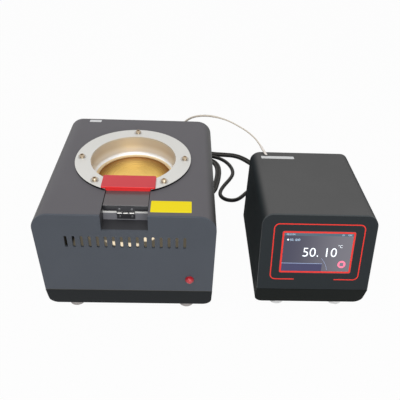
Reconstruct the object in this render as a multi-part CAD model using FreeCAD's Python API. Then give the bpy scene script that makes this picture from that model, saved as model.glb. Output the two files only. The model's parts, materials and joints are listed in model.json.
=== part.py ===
"""Heated-well unit with a hinged front gate, and its separate touch-screen controller.

Millimetres, +Z up. While it is built, x = 0 is the middle of the heater, y = 0 its front
plate, +y runs to the back and z = 0 is the bench. export() then moves everything so that the
origin lies on the bench under the middle of the two housings.
"""

import FreeCAD
import Part

import math
import os
from dataclasses import dataclass

Vector = FreeCAD.Vector
AXIS_X = Vector(1, 0, 0)
AXIS_Y = Vector(0, 1, 0)
AXIS_Z = Vector(0, 0, 1)
EDGE_TOLERANCE = 0.01

# Heater housing
heater_width = 260.0
heater_depth = 280.0
heater_top = 200.0
heater_break = 50.0
heater_lean = 8.3
heater_top_radius = 26.0

# Controller housing
controller_width = 179.0
controller_depth = 217.0
controller_top = 170.5
controller_break = 48.0
controller_lean = 8.0
controller_tilt = 17.0
controller_top_radius = 17.0
controller_setback = 9.0
unit_gap = 72.0

# Sheet metal that both housings share
wall = 2.0
front_plate = 3.0
back_plate = 2.0
base_radius = 14.0
band_return = 22.0
plate_edge_round = 0.8

# Feet
foot_height = 10.0
foot_radius = 14.5
foot_taper = 1.5
foot_inset_side = 40.0
foot_inset_end = 24.0
foot_bore_radius = 2.2
foot_recess_radius = 5.0
foot_recess_depth = 5.0
foot_screw_radius = 2.0
foot_screw_head_radius = 4.0
foot_screw_head = 3.0
foot_screw_reach = 6.0

# Well, ring and hot plate
well_y = 144.5
well_radius = 68.0
lip_depth = 31.6
lip_bend = 7.0
lip_width = 1.0
liner_wall = 1.5
hole_clearance = 0.5
ring_outer_radius = 92.5
ring_thickness = 3.0
ring_bolt_radius = 82.5
ring_bolt_angles = (0.0, 90.0, 180.0, 231.0, 309.0)
ring_bolt_hole_radius = 2.7
ring_screw_radius = 2.5
ring_screw_head_radius = 4.4
ring_screw_crown_radius = 3.2
ring_screw_head = 3.4
ring_screw_socket_radius = 2.2
ring_screw_socket_depth = 2.0
ring_screw_reach = 10.0
ring_washer_radius = 6.6
ring_washer = 1.0
ring_nut_across = 8.0
ring_nut_height = 4.0
plate_thickness = 26.0
plate_radius = 66.0
plate_rim_step = 3.0
element_outer_radius = 58.0
element_inner_radius = 14.0
element_thickness = 6.0
clamp_thickness = 4.0
clamp_stud_radius = 4.0
clamp_stud_depth = 12.0
clamp_nut_across = 13.0
clamp_nut_height = 6.5
carrier_z = 90.0
carrier_thickness = 3.0
insulation_radius = 100.0
insulation_top_gap = 4.0
shroud_wall = 1.5
shroud_gap = 0.5
standoff_radius = 6.0
standoff_spread = 70.0
thermostat_radius = 8.0
thermostat_height = 9.0
thermostat_x = 30.0
probe_radius = 3.0
probe_length = 62.0
probe_seat = 40.0

# Notch, gate and hinge
channel_width = 66.0
tray_sheet = 1.5
notch_depth = 27.0
step_depth = 14.5
step_y = 25.0
seat_plate = 3.0
gate_width = 64.0
gate_drop = 1.0
gate_lift = 0.8
gate_rear_clearance = 0.5
gate_corner_round = 1.5
handle_front = 60.0
handle_depth = 31.0
handle_width = 80.0
handle_stem_width = 66.0
handle_lift = 0.4
handle_plate = 2.6
handle_corner_radius = 2.5
handle_edge_round = 1.0
ring_gap_clearance = 1.0
handle_screw_radius = 2.0
handle_screw_head_radius = 3.8
handle_screw_head = 2.6
handle_screw_reach = 4.5
handle_screw_spread = 20.0
handle_screw_setback = 9.0
hinge_width = 26.0
hinge_leaf = 1.0
hinge_leaf_reach = 10.8
hinge_knuckle_radius = 1.8
hinge_pin_radius = 0.9
hinge_pin_clearance = 0.05
hinge_stand_off = 2.2
hinge_depth = 13.6
hinge_knuckle_gap = 0.3
hinge_screw_radius = 1.0
hinge_screw_head_radius = 1.9
hinge_screw_crown_radius = 1.3
hinge_screw_head = 0.6
hinge_screw_reach = 2.0
hinge_screw_spread = 8.9
hinge_screw_offset = 6.6

# Front plate of the heater
slot_count = 16
slot_pitch = 11.35
slot_width = 4.2
slot_height = 21.3
slot_z = 151.3
lamp_inset = 36.4
lamp_z = 76.5
lamp_hole_radius = 6.0
lamp_bezel_radius = 6.8
lamp_bezel_out = 2.5
lamp_bezel_taper = 0.6
lamp_bezel_wall = 0.6
lamp_dome = 4.5
lamp_body = 14.0

# Back plates
back_slot_count = 11
back_slot_height = 34.0
back_slot_inset = 75.0
back_slot_z = 120.0
socket_z = 48.0
socket_radius = 8.5
socket_reach = 10.0
socket_flange_radius = 12.0
socket_flange = 2.0
socket_nut_radius = 11.0
socket_nut = 4.0
heater_lead_x = 74.0
link_lead_x = 36.0
plug_ring_radius = 11.0
plug_ring_length = 20.0
plug_body_radius = 9.2
plug_body_length = 33.0
plug_length = 50.0
plug_tail_wall = 1.2
plug_bore_clearance = 0.2
gland_x = 66.0
gland_z = 160.0
gland_radius = 8.0
gland_flange = 4.0
gland_dome_radius = 6.0
gland_dome = 9.8
gland_length = 13.0
gland_tail_radius = 3.2
panel_screw_radius = 1.5
panel_screw_head_radius = 2.9
panel_screw_head = 1.8
panel_screw_reach = 6.0
panel_screw_inset = 8.0
panel_flange = 14.0
panel_flange_corner = 3.0
panel_screw_hole_clearance = 0.2

# Controller front
glass_width = 114.0
glass_height = 72.0
glass_slope = 65.6
glass_thickness = 2.5
glass_clearance = 0.3
glass_corner_radius = 3.0
display_margin = 3.5
display_thickness = 8.0

# Controller back
heater_lead_far_inset = 36.0
link_lead_far_inset = 72.0
inlet_inset = 38.0
inlet_z = 62.0
inlet_flange_width = 50.0
inlet_flange_height = 26.0
inlet_flange = 3.0
inlet_body_width = 29.0
inlet_body_height = 21.0
inlet_body_depth = 24.0
inlet_recess_width = 24.6
inlet_recess_height = 16.8
inlet_recess_depth = 18.0
inlet_recess_corner = 5.0
inlet_corner_radius = 6.0
pin_width = 2.0
pin_height = 4.0
pin_length = 12.0
pin_spread = 7.0
pin_stagger = 2.0
switch_z = 108.0
switch_frame_width = 22.0
switch_frame_height = 32.0
switch_frame = 2.0
switch_opening_width = 17.0
switch_opening_height = 26.0
switch_depth = 14.0
rocker_clearance = 0.5
rocker_half_height = 11.2
rocker_dip = 3.4
rocker_peak = 5.4
rocker_root = 5.0
rocker_root_half = 8.0
rocker_throw = 20.0
rocker_pin_radius = 1.2
rocker_pin_clearance = 0.05

# Controller inside
board_side_gap = 23.5
board_depth = 92.0
board_thickness = 1.6
board_standoff = 8.0
board_standoff_radius = 3.0
board_front_gap = 34.0
board_hole_inset = 5.0
supply_width = 62.0
supply_depth = 98.0
supply_height = 34.0
supply_side_gap = 12.0
supply_back_gap = 34.0
relay_width = 45.0
relay_depth = 58.0
relay_height = 24.0
sink_height = 30.0
sink_base = 6.0
sink_fin = 2.0
sink_fin_count = 7
sink_side_gap = 30.0

# Sensor jack on the controller's top
jack_inset = 25.5
jack_back_gap = 10.0
jack_radius = 4.2
jack_height = 1.6
jack_throat = 3.4
sleeve_radius = 2.1
sleeve_lean_x = -0.85
sleeve_lean_y = 0.8
sleeve_rise = 11.5

# Leads. A route's points are (x, distance behind the heater's back, z), and a landing's points
# are offsets from the lead's far end.
heater_lead_diameter = 10.2
link_lead_diameter = 8.4
sensor_lead_diameter = 3.4
lead_floor = 5.4
lead_bend_share = 0.45
heater_lead_route = (
    (74, 71, 48), (73.5, 93, 38), (72, 112, 22.5), (70.5, 131, 9.5), (72, 152, lead_floor),
    (84, 172, lead_floor), (104.7, 183.5, lead_floor), (128.7, 183.5, lead_floor),
    (149, 173.5, lead_floor), (160, 154, lead_floor), (161.5, 128, lead_floor),
    (158.5, 101, lead_floor), (153.5, 75, lead_floor), (147, 50, lead_floor),
    (130, 32, lead_floor), (104, 25.5, lead_floor), (77, 27, lead_floor),
    (51, 37, lead_floor), (29, 55, lead_floor), (13, 79, lead_floor), (5, 107, lead_floor),
    (6, 136, lead_floor), (17, 163, lead_floor), (36, 185, lead_floor), (61, 200, lead_floor),
    (89, 209.5, lead_floor), (119, 213, lead_floor), (150, 204.5, lead_floor),
    (179, 202.5, lead_floor), (205, 200, lead_floor), (225, 186.5, lead_floor),
    (241, 167, lead_floor), (260, 144, lead_floor), (280, 121, lead_floor),
    (302, 100, lead_floor),
)
heater_lead_landing = ((-23, 86, -41.5), (-9, 65, -33.5), (-2, 45, -17), (0, 23, 0))
link_lead_route = (
    (36, 71, 48), (36, 93, 38), (36.5, 112, 22.5), (39, 131, 9), (46, 154, lead_floor),
    (59, 173.5, lead_floor), (79, 188, lead_floor), (104, 195.5, lead_floor),
    (130, 196, lead_floor), (153, 191.5, lead_floor), (171, 181.5, lead_floor),
    (185.5, 164, lead_floor), (194.5, 140, lead_floor), (195, 117, lead_floor),
    (186, 96, lead_floor), (174, 76, lead_floor), (164, 56, lead_floor),
    (160, 38, lead_floor), (165.5, 24.5, lead_floor), (177.8, 17.2, lead_floor),
    (192, 17.5, lead_floor), (204, 26, lead_floor), (218, 44.5, lead_floor),
    (233, 62, lead_floor),
)
link_lead_landing = (
    (-54, 76.5, -40.5), (-30, 74.5, -31), (-10.5, 60.5, -18), (-1, 39, -6), (0, 19.5, 0),
)
sensor_lead_route = (
    (66, 27, 160), (70, 38.5, 168), (78.5, 42.5, 179), (91, 38.5, 189.5), (106, 30, 197),
    (122, 21, 202), (138, 12.5, 204.5), (154, 4, 204.5), (169, -5, 202.5),
)
sensor_lead_landing = ((-37, 39.2, 17), (-24.5, 28.5, 14.5), (-14, 16.5, 11))
sensor_lead_straight = 11.2


@dataclass(frozen=True)
class Housing:
    """A rounded box whose lower front leans in and whose upper front may tilt back."""

    mid_x: float
    width: float
    front: float
    depth: float
    top: float
    break_z: float
    lean: float
    tilt: float
    top_radius: float

    @property
    def back(self):
        return self.front + self.depth

    @property
    def floor(self):
        return foot_height + wall

    @property
    def seam(self):
        return foot_height + base_radius

    def front_at(self, z, inset):
        """y of the upper front plane, moved inwards by inset, at height z."""
        slope = math.radians(self.tilt)
        return self.front + (z - self.break_z) * math.tan(slope) + inset / math.cos(slope)

    def band_at(self, z, inset):
        """y of the leaning band below the break, moved inwards by inset, at height z."""
        slope = math.atan2(self.lean, self.break_z - foot_height)
        return self.front + (self.break_z - z) * math.tan(slope) + inset / math.cos(slope)

    def break_at(self, inset):
        """Height at which the two front planes meet when both move inwards by inset."""
        lower = math.atan2(self.lean, self.break_z - foot_height)
        upper = math.radians(self.tilt)
        shift = inset * (1 / math.cos(lower) - 1 / math.cos(upper))
        return self.break_z + shift / (math.tan(lower) + math.tan(upper))


heater = Housing(
    0.0, heater_width, 0.0, heater_depth, heater_top, heater_break, heater_lean, 0.0,
    heater_top_radius,
)
controller = Housing(
    heater_width / 2 + unit_gap + controller_width / 2, controller_width, controller_setback,
    controller_depth, controller_top, controller_break, controller_lean, controller_tilt,
    controller_top_radius,
)

# Values that follow from the driving dimensions
well_centre = Vector(heater.mid_x, well_y, 0)
liner_outer_radius = well_radius + liner_wall
notch_floor = heater_top - notch_depth
step_top = heater_top - step_depth
gate_top = heater_top - gate_drop
gate_bottom = step_top + seat_plate + gate_lift
handle_under = heater_top + ring_thickness + handle_lift
handle_top = handle_under + handle_plate
hinge_y = step_y - hinge_stand_off
hinge_z = heater_top - hinge_depth
lip_radius = well_radius - lip_bend - lip_width
plate_top = heater_top - lip_depth - liner_wall
plate_bottom = plate_top - plate_thickness
element_bottom = plate_bottom - element_thickness
clamp_bottom = element_bottom - clamp_thickness
insulation_top = notch_floor - tray_sheet - insulation_top_gap
lamp_x = heater.mid_x + heater_width / 2 - lamp_inset
back_slot_x = heater.mid_x - heater_width / 2 + back_slot_inset
socket_front = heater.back + socket_reach
controller_left = controller.mid_x - controller_width / 2
controller_right = controller.mid_x + controller_width / 2
heater_lead_far_x = controller_right - heater_lead_far_inset
link_lead_far_x = controller_right - link_lead_far_inset
inlet_x = controller_left + inlet_inset
switch_x = inlet_x
jack_x = controller_left + jack_inset
jack_y = controller.back - jack_back_gap
board_width = controller_width - 2 * board_side_gap


def box(x_range, y_range, z_range):
    """A box between two values on each axis."""
    corner = Vector(x_range[0], y_range[0], z_range[0])
    size = [high - low for low, high in (x_range, y_range, z_range)]
    return Part.makeBox(size[0], size[1], size[2], corner)


def about(middle, width):
    """The range of a width centred on a value."""
    return (middle - width / 2, middle + width / 2)


def cylinder(radius, height, base, axis=AXIS_Z):
    return Part.makeCylinder(radius, height, base, axis)


def hexagon(across, height, base):
    """An upright hexagonal prism, such as a nut."""
    radius = across / math.sqrt(3)
    corners = []
    for step in range(7):
        angle = math.radians(60 * step)
        corners.append(base + Vector(math.cos(angle), math.sin(angle), 0) * radius)
    return Part.Face(Part.makePolygon(corners)).extrude(AXIS_Z * height)


def turned(profile, base, axis=AXIS_Z):
    """A solid of revolution from (radius, distance along the axis) points; the axis is y or z."""
    side = axis.cross(AXIS_X)
    points = [base + side * radius + axis * along for radius, along in profile]
    face = Part.Face(Part.makePolygon(points + points[:1]))
    return face.revolve(base, axis, 360)


def prism_x(points, x_range):
    """A (y, z) outline drawn out along x."""
    corners = [Vector(x_range[0], y, z) for y, z in points]
    face = Part.Face(Part.makePolygon(corners + corners[:1]))
    return face.extrude(AXIS_X * (x_range[1] - x_range[0]))


def rounded_face(x_range, z_range, low_radius, high_radius, y):
    """A face square to y with one radius at its lower corners and one at its upper corners."""
    bend = math.sqrt(0.5)
    corners = (
        (x_range[1], z_range[0], -1, 1, low_radius),
        (x_range[1], z_range[1], -1, -1, high_radius),
        (x_range[0], z_range[1], 1, -1, high_radius),
        (x_range[0], z_range[0], 1, 1, low_radius),
    )
    edges = []
    ends = []
    for index, (x, z, in_x, in_z, radius) in enumerate(corners):
        centre = Vector(x + in_x * radius, y, z + in_z * radius)
        along_x = Vector(x + in_x * radius, y, z)
        along_z = Vector(x, y, z + in_z * radius)
        middle = centre - Vector(in_x * radius * bend, 0, in_z * radius * bend)
        first, last = (along_x, along_z) if index % 2 == 0 else (along_z, along_x)
        ends.append((first, last))
        edges.append(Part.Arc(first, middle, last).toShape())
    for index in range(4):
        edges.append(Part.LineSegment(ends[index][1], ends[(index + 1) % 4][0]).toShape())
    return Part.Face(Part.Wire(Part.__sortEdges__(edges)))


def rounded_plate(x_range, z_range, radius, y_range):
    """A plate square to y with rounded corners."""
    face = rounded_face(x_range, z_range, radius, radius, y_range[0])
    return face.extrude(AXIS_Y * (y_range[1] - y_range[0]))


def group(solids):
    """Separate solids that share one node."""
    return Part.makeCompound(solids)


def tube(corners, radius):
    """A round lead along straight runs, with an arc at each corner as large as the runs allow."""
    edges = []
    radii = []
    start = corners[0]
    for before, corner, after in zip(corners, corners[1:], corners[2:]):
        back = (before - corner).normalize()
        ahead = (after - corner).normalize()
        half_turn = (math.pi - back.getAngle(ahead)) / 2
        reach = lead_bend_share * min(before.distanceToPoint(corner), after.distanceToPoint(corner))
        bend = reach / math.tan(half_turn)
        radii.append(bend)
        first = corner + back * reach
        last = corner + ahead * reach
        inward = (back + ahead).normalize()
        middle = corner + inward * (bend / math.cos(half_turn) - bend)
        edges.append(Part.LineSegment(start, first).toShape())
        edges.append(Part.Arc(first, middle, last).toShape())
        start = last
    edges.append(Part.LineSegment(start, corners[-1]).toShape())
    path = Part.Wire(edges)
    section = Part.Wire(Part.makeCircle(radius, corners[0], corners[1] - corners[0]))
    solid = path.makePipeShell([section], True, False)
    expected = math.pi * radius ** 2 * path.Length
    print(
        "lead", round(path.Length), "mm long, tightest bends", [round(r) for r in sorted(radii)[:5]],
        "volume over section times length", round(solid.Volume / expected, 4),
    )
    return solid


def housing_solid(housing, inset):
    """The housing's outside, or its inside when inset is the wall."""
    low = foot_height + inset
    high = housing.top - inset
    face = rounded_face(
        about(housing.mid_x, housing.width - 2 * inset), (low, high), base_radius - inset,
        housing.top_radius - inset, housing.front,
    )
    body = face.extrude(AXIS_Y * housing.depth)
    knee = housing.break_at(inset)
    profile = (
        (housing.band_at(low, inset), low),
        (housing.front_at(knee, inset), knee),
        (housing.front_at(high, inset), high),
        (housing.back, high),
        (housing.back, low),
    )
    return body.common(prism_x(profile, about(housing.mid_x, housing.width)))


def front_region(housing):
    """Space that the front plate takes: its thickness behind the upper front plane."""
    high = housing.top
    profile = (
        (housing.front_at(housing.break_z, 0), housing.break_z),
        (housing.front_at(housing.break_z, front_plate), housing.break_z),
        (housing.front_at(high, front_plate), high),
        (housing.front_at(high, 0), high),
    )
    return prism_x(profile, about(housing.mid_x, housing.width))


def back_region(housing):
    """Space that the back plate takes."""
    return box(
        about(housing.mid_x, housing.width), (housing.back - back_plate, housing.back),
        (foot_height, housing.top),
    )


def tray_region(housing):
    """Space that the base tray takes: below the seam, and the leaning band at the front."""
    sides = about(housing.mid_x, housing.width)
    below = box(sides, (housing.front, housing.back), (foot_height, housing.seam))
    band = box(
        sides, (housing.front, housing.front + band_return), (foot_height, housing.break_z),
    )
    return below.fuse(band)


def shell(housing):
    """The folded sheet without its front and back plates."""
    skin = housing_solid(housing, 0).cut(housing_solid(housing, wall))
    return skin.cut(front_region(housing)).cut(back_region(housing))


def cover(housing):
    """Top and sides, with a flange turned in at the back for the back plate's screws."""
    start = housing.back - back_plate - wall
    depth = (start, start + wall)
    opening = rounded_plate(
        about(housing.mid_x, housing.width - 2 * panel_flange),
        (foot_height, housing.top - panel_flange), panel_flange_corner, depth,
    )
    slab = box(about(housing.mid_x, housing.width), depth, (foot_height, housing.top))
    flange = housing_solid(housing, wall).common(slab).cut(opening)
    sheet = shell(housing).fuse(flange).cut(tray_region(housing)).removeSplitter()
    for x, z in panel_screw_places(housing):
        sheet = sheet.cut(cylinder(panel_screw_radius, wall, Vector(x, start, z), AXIS_Y))
    return sheet


def base_tray(housing):
    tray = shell(housing).common(tray_region(housing))
    for x, y in foot_places(housing):
        tray = tray.cut(cylinder(foot_bore_radius, wall, Vector(x, y, foot_height)))
    return tray


def front_blank(housing):
    """The front plate before it is pierced, with its outer edge eased."""
    plate = housing_solid(housing, 0).common(front_region(housing))
    rim = []
    for edge in plate.Edges:
        middle = edge.valueAt((edge.FirstParameter + edge.LastParameter) / 2)
        if abs(middle.y - housing.front_at(middle.z, 0)) < EDGE_TOLERANCE:
            rim.append(edge)
    return plate.makeFillet(plate_edge_round, rim)


def back_blank(housing):
    plate = housing_solid(housing, 0).common(back_region(housing))
    for x, z in panel_screw_places(housing):
        hole = panel_screw_radius + panel_screw_hole_clearance
        plate = plate.cut(cylinder(hole, back_plate, Vector(x, housing.back - back_plate, z), AXIS_Y))
    return plate


def foot_places(housing):
    """Middles of the four feet under a housing."""
    side = housing.width / 2 - foot_inset_side
    return [
        (housing.mid_x + sign * side, y)
        for sign in (-1, 1)
        for y in (housing.front + foot_inset_end, housing.back - foot_inset_end)
    ]


def feet(housing):
    """Tapered rubber feet, each with a recess for its screw."""
    made = []
    for x, y in foot_places(housing):
        profile = (
            (foot_recess_radius, 0), (foot_radius - foot_taper, 0), (foot_radius, foot_height),
            (foot_bore_radius, foot_height), (foot_bore_radius, foot_recess_depth),
            (foot_recess_radius, foot_recess_depth),
        )
        made.append(turned(profile, Vector(x, y, 0)))
    return group(made)


def foot_screws():
    """Pan-head screws that hold the feet, on both housings."""
    made = []
    for housing in (heater, controller):
        for x, y in foot_places(housing):
            head = Vector(x, y, foot_recess_depth - foot_screw_head)
            shank = Vector(x, y, foot_recess_depth)
            length = housing.floor - foot_recess_depth + foot_screw_reach
            screw = cylinder(foot_screw_head_radius, foot_screw_head, head)
            made.append(screw.fuse(cylinder(foot_screw_radius, length, shank)).removeSplitter())
    return group(made)


def panel_screw_places(housing):
    """Middles of the screws in a back plate: near the corners and halfway up each side."""
    side = housing.width / 2 - panel_screw_inset
    low = housing.seam + panel_screw_inset
    high = housing.top - housing.top_radius
    return [
        (housing.mid_x + sign * side, z)
        for sign in (-1, 1)
        for z in (low, (low + high) / 2, high)
    ]


def panel_screws():
    """Screws that hold both back plates."""
    made = []
    for housing in (heater, controller):
        for x, z in panel_screw_places(housing):
            head = cylinder(
                panel_screw_head_radius, panel_screw_head, Vector(x, housing.back, z), AXIS_Y,
            )
            start = Vector(x, housing.back - panel_screw_reach, z)
            shank = cylinder(panel_screw_radius, panel_screw_reach, start, AXIS_Y)
            made.append(head.fuse(shank).removeSplitter())
    return group(made)


def slot(x, z_middle, height, y_range):
    """An upright vent slot with round ends."""
    return rounded_plate(
        about(x, slot_width), about(z_middle, height), slot_width / 2 - EDGE_TOLERANCE, y_range,
    )


def slot_row(middle_x, count, z_middle, height, y_range):
    first = middle_x - (count - 1) / 2 * slot_pitch
    return [slot(first + step * slot_pitch, z_middle, height, y_range) for step in range(count)]


def channel_space():
    """The notch: low at the front, a step higher behind it, and open at the top."""
    profile = (
        (heater.front, notch_floor), (step_y, notch_floor), (step_y, step_top),
        (well_y, step_top), (well_y, heater_top + ring_thickness),
        (heater.front, heater_top + ring_thickness),
    )
    return prism_x(profile, about(heater.mid_x, channel_width))


def heater_cover():
    well = cylinder(
        liner_outer_radius + hole_clearance, wall, well_centre + AXIS_Z * (heater_top - wall),
    )
    sheet = cover(heater).cut(well).cut(channel_space())
    for point in ring_bolt_places():
        sheet = sheet.cut(cylinder(ring_bolt_hole_radius, wall, point + AXIS_Z * (heater_top - wall)))
    return sheet


def heater_front_plate():
    depth = (heater.front, heater.front + front_plate)
    plate = front_blank(heater).cut(channel_space())
    for hole in slot_row(heater.mid_x, slot_count, slot_z, slot_height, depth):
        plate = plate.cut(hole)
    lamp = cylinder(lamp_hole_radius, front_plate, Vector(lamp_x, heater.front, lamp_z), AXIS_Y)
    return plate.cut(lamp)


def heater_back_plate():
    start = heater.back - back_plate
    plate = back_blank(heater)
    for hole in slot_row(
        back_slot_x, back_slot_count, back_slot_z, back_slot_height, (start, heater.back),
    ):
        plate = plate.cut(hole)
    for x in (heater_lead_x, link_lead_x):
        plate = plate.cut(cylinder(socket_radius, back_plate, Vector(x, start, socket_z), AXIS_Y))
    gland = cylinder(gland_tail_radius, back_plate, Vector(gland_x, start, gland_z), AXIS_Y)
    return plate.cut(gland)


def ring_bolt_places():
    """Middles of the ring's screws, on its bolt circle."""
    return [
        well_centre + Vector(math.cos(math.radians(a)), math.sin(math.radians(a)), 0) * ring_bolt_radius
        for a in ring_bolt_angles
    ]


def ring_flange():
    """Flat clamping ring round the well, open where the gate's handle passes."""
    base = well_centre + AXIS_Z * heater_top
    ring = cylinder(ring_outer_radius, ring_thickness, base)
    ring = ring.cut(cylinder(well_radius, ring_thickness, base))
    gap = box(
        about(heater.mid_x, handle_stem_width + 2 * ring_gap_clearance),
        (well_y - ring_outer_radius, well_y), (heater_top, heater_top + ring_thickness),
    )
    ring = ring.cut(gap)
    for point in ring_bolt_places():
        ring = ring.cut(cylinder(ring_bolt_hole_radius, ring_thickness, point + AXIS_Z * heater_top))
    return ring


def ring_washers():
    made = []
    for point in ring_bolt_places():
        base = point + AXIS_Z * (heater_top + ring_thickness)
        washer = cylinder(ring_washer_radius, ring_washer, base)
        made.append(washer.cut(cylinder(ring_bolt_hole_radius, ring_washer, base)))
    return group(made)


def ring_screws():
    """Round-head socket screws through the ring and the cover."""
    seat = heater_top + ring_thickness + ring_washer
    made = []
    for point in ring_bolt_places():
        head = turned(
            (
                (0, 0), (ring_screw_head_radius, 0), (ring_screw_head_radius, ring_screw_head / 2),
                (ring_screw_crown_radius, ring_screw_head), (0, ring_screw_head),
            ),
            point + AXIS_Z * seat,
        )
        top = point + AXIS_Z * (seat + ring_screw_head - ring_screw_socket_depth)
        across = ring_screw_socket_radius * math.sqrt(3)
        head = head.cut(hexagon(across, ring_screw_socket_depth, top))
        foot = seat - ring_screw_reach - wall - ring_thickness
        shank = cylinder(ring_screw_radius, seat - foot, point + AXIS_Z * foot)
        made.append(head.fuse(shank).removeSplitter())
    return group(made)


def ring_nuts():
    """Nuts under the cover that the ring's screws pull against."""
    made = []
    for point in ring_bolt_places():
        base = point + AXIS_Z * (heater_top - wall - ring_nut_height)
        nut = hexagon(ring_nut_across, ring_nut_height, base)
        made.append(nut.cut(cylinder(ring_screw_radius, ring_nut_height, base)))
    return group(made)


def liner_profile(inset):
    """Half outline of the spun liner: straight wall, rounded shoulder, level lip."""
    wall_radius = well_radius + inset
    low = heater_top - lip_depth - inset
    bend = lip_bend + inset
    centre_z = low + bend
    middle = math.sqrt(0.5) * bend
    centre_radius = wall_radius - bend
    return (
        Vector(wall_radius, 0, heater_top), Vector(wall_radius, 0, centre_z),
        Vector(centre_radius + middle, 0, centre_z - middle), Vector(centre_radius, 0, low),
    )


def well_liner():
    inner = liner_profile(0)
    outer = liner_profile(liner_wall)
    lip_inner = Vector(lip_radius, 0, inner[3].z)
    lip_outer = Vector(lip_radius, 0, outer[3].z)
    shoulder_inner = Part.Arc(inner[1], inner[2], inner[3]).toShape()
    shoulder_outer = Part.Arc(outer[1], outer[2], outer[3]).toShape()
    edges = [
        Part.LineSegment(inner[0], inner[1]).toShape(), shoulder_inner, shoulder_outer,
        Part.LineSegment(outer[1], outer[0]).toShape(), Part.LineSegment(outer[0], inner[0]).toShape(),
    ]
    edges.append(Part.LineSegment(lip_inner, lip_outer).toShape())
    edges.append(Part.LineSegment(inner[3], lip_inner).toShape())
    edges.append(Part.LineSegment(lip_outer, outer[3]).toShape())
    face = Part.Face(Part.Wire(Part.__sortEdges__(edges)))
    liner = face.revolve(Vector(0, 0, 0), AXIS_Z, 360)
    liner.translate(well_centre)
    return liner.cut(channel_space())


def hot_plate():
    """Thick heated disc, stepped at its rim, with bores for its probe and clamp stud."""
    profile = (
        (0, 0), (plate_radius - plate_rim_step, 0), (plate_radius, plate_rim_step),
        (plate_radius, plate_thickness), (0, plate_thickness),
    )
    plate = turned(profile, well_centre + AXIS_Z * plate_bottom)
    stud = cylinder(clamp_stud_radius, clamp_stud_depth, well_centre + AXIS_Z * plate_bottom)
    return plate.cut(stud).cut(probe_space())


def probe_space():
    """The probe's body, a tight fit from the back into the middle of the plate's thickness."""
    start = well_centre + Vector(0, plate_radius - probe_seat, 0)
    start.z = (plate_top + plate_bottom) / 2
    return cylinder(probe_radius, probe_length, start, AXIS_Y)


def heating_element():
    base = well_centre + AXIS_Z * element_bottom
    disc = cylinder(element_outer_radius, element_thickness, base)
    return disc.cut(cylinder(element_inner_radius, element_thickness, base))


def clamp_plate():
    base = well_centre + AXIS_Z * clamp_bottom
    disc = cylinder(element_outer_radius, clamp_thickness, base)
    return disc.cut(cylinder(clamp_stud_radius, clamp_thickness, base))


def clamp_stud():
    """Stud and nut that press the element against the plate."""
    foot = clamp_bottom - 2 * clamp_nut_height
    length = plate_bottom + clamp_stud_depth - foot
    stud = cylinder(clamp_stud_radius, length, well_centre + AXIS_Z * foot)
    seat = well_centre + AXIS_Z * (clamp_bottom - clamp_nut_height)
    nut = hexagon(clamp_nut_across, clamp_nut_height, seat)
    return stud.fuse(nut).removeSplitter()


def insulation():
    """Fibre block that holds the plate on its shoulder and fills the shroud."""
    low = carrier_z + carrier_thickness
    base = well_centre + AXIS_Z * low
    block = cylinder(insulation_radius, insulation_top - low, base)
    plate = cylinder(plate_radius, insulation_top - plate_bottom, well_centre + AXIS_Z * plate_bottom)
    pit = cylinder(element_outer_radius, plate_bottom - low, base)
    well = cylinder(liner_outer_radius, insulation_top - low, well_centre + AXIS_Z * plate_top)
    return block.cut(plate).cut(pit).cut(well).cut(probe_space())


def heat_shroud():
    """Bright sheet round the insulation, seen through the vent slots."""
    low = carrier_z + carrier_thickness
    base = well_centre + AXIS_Z * low
    inside = insulation_radius + shroud_gap
    skin = cylinder(inside + shroud_wall, insulation_top - low, base)
    return skin.cut(cylinder(inside, insulation_top - low, base))


def carrier_plate():
    radius = insulation_radius + shroud_gap + shroud_wall
    return cylinder(radius, carrier_thickness, well_centre + AXIS_Z * carrier_z)


def standoff_places():
    return [
        well_centre + Vector(sx * standoff_spread, sy * standoff_spread, heater.floor)
        for sx in (-1, 1)
        for sy in (-1, 1)
    ]


def standoffs():
    """Posts that carry the hot assembly above the base tray."""
    height = carrier_z - heater.floor
    return group([cylinder(standoff_radius, height, point) for point in standoff_places()])


def thermostat():
    """Over-temperature cut-out under the carrier plate."""
    base = well_centre + Vector(thermostat_x, 0, carrier_z - thermostat_height)
    body = cylinder(thermostat_radius, thermostat_height, base)
    ears = box(
        about(base.x, 4 * thermostat_radius), about(base.y, thermostat_radius),
        (carrier_z - tray_sheet, carrier_z),
    )
    return body.fuse(ears).removeSplitter()


def notch_tray():
    """Folded channel under the gate: low floor, riser for the hinge, step and two side walls."""
    ceiling = heater_top - wall
    start = heater.front + front_plate
    profile = (
        (start, notch_floor - tray_sheet), (step_y + tray_sheet, notch_floor - tray_sheet),
        (step_y + tray_sheet, step_top - tray_sheet), (well_y, step_top - tray_sheet),
        (well_y, ceiling), (start, ceiling),
    )
    block = prism_x(profile, about(heater.mid_x, channel_width + 2 * tray_sheet))
    well = cylinder(liner_outer_radius, heater_top, well_centre)
    tray = block.cut(channel_space()).cut(well)
    for x in hinge_screw_places():
        hole = Vector(x, step_y, hinge_z - hinge_screw_offset)
        tray = tray.cut(cylinder(hinge_screw_radius, tray_sheet, hole, AXIS_Y))
    return tray


def gate_seat():
    """Bright plate on the step, whose front edge shows under the gate."""
    plate = box(
        about(heater.mid_x, channel_width), (step_y, well_y), (step_top, step_top + seat_plate),
    )
    return plate.cut(cylinder(liner_outer_radius, heater_top, well_centre))


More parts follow.
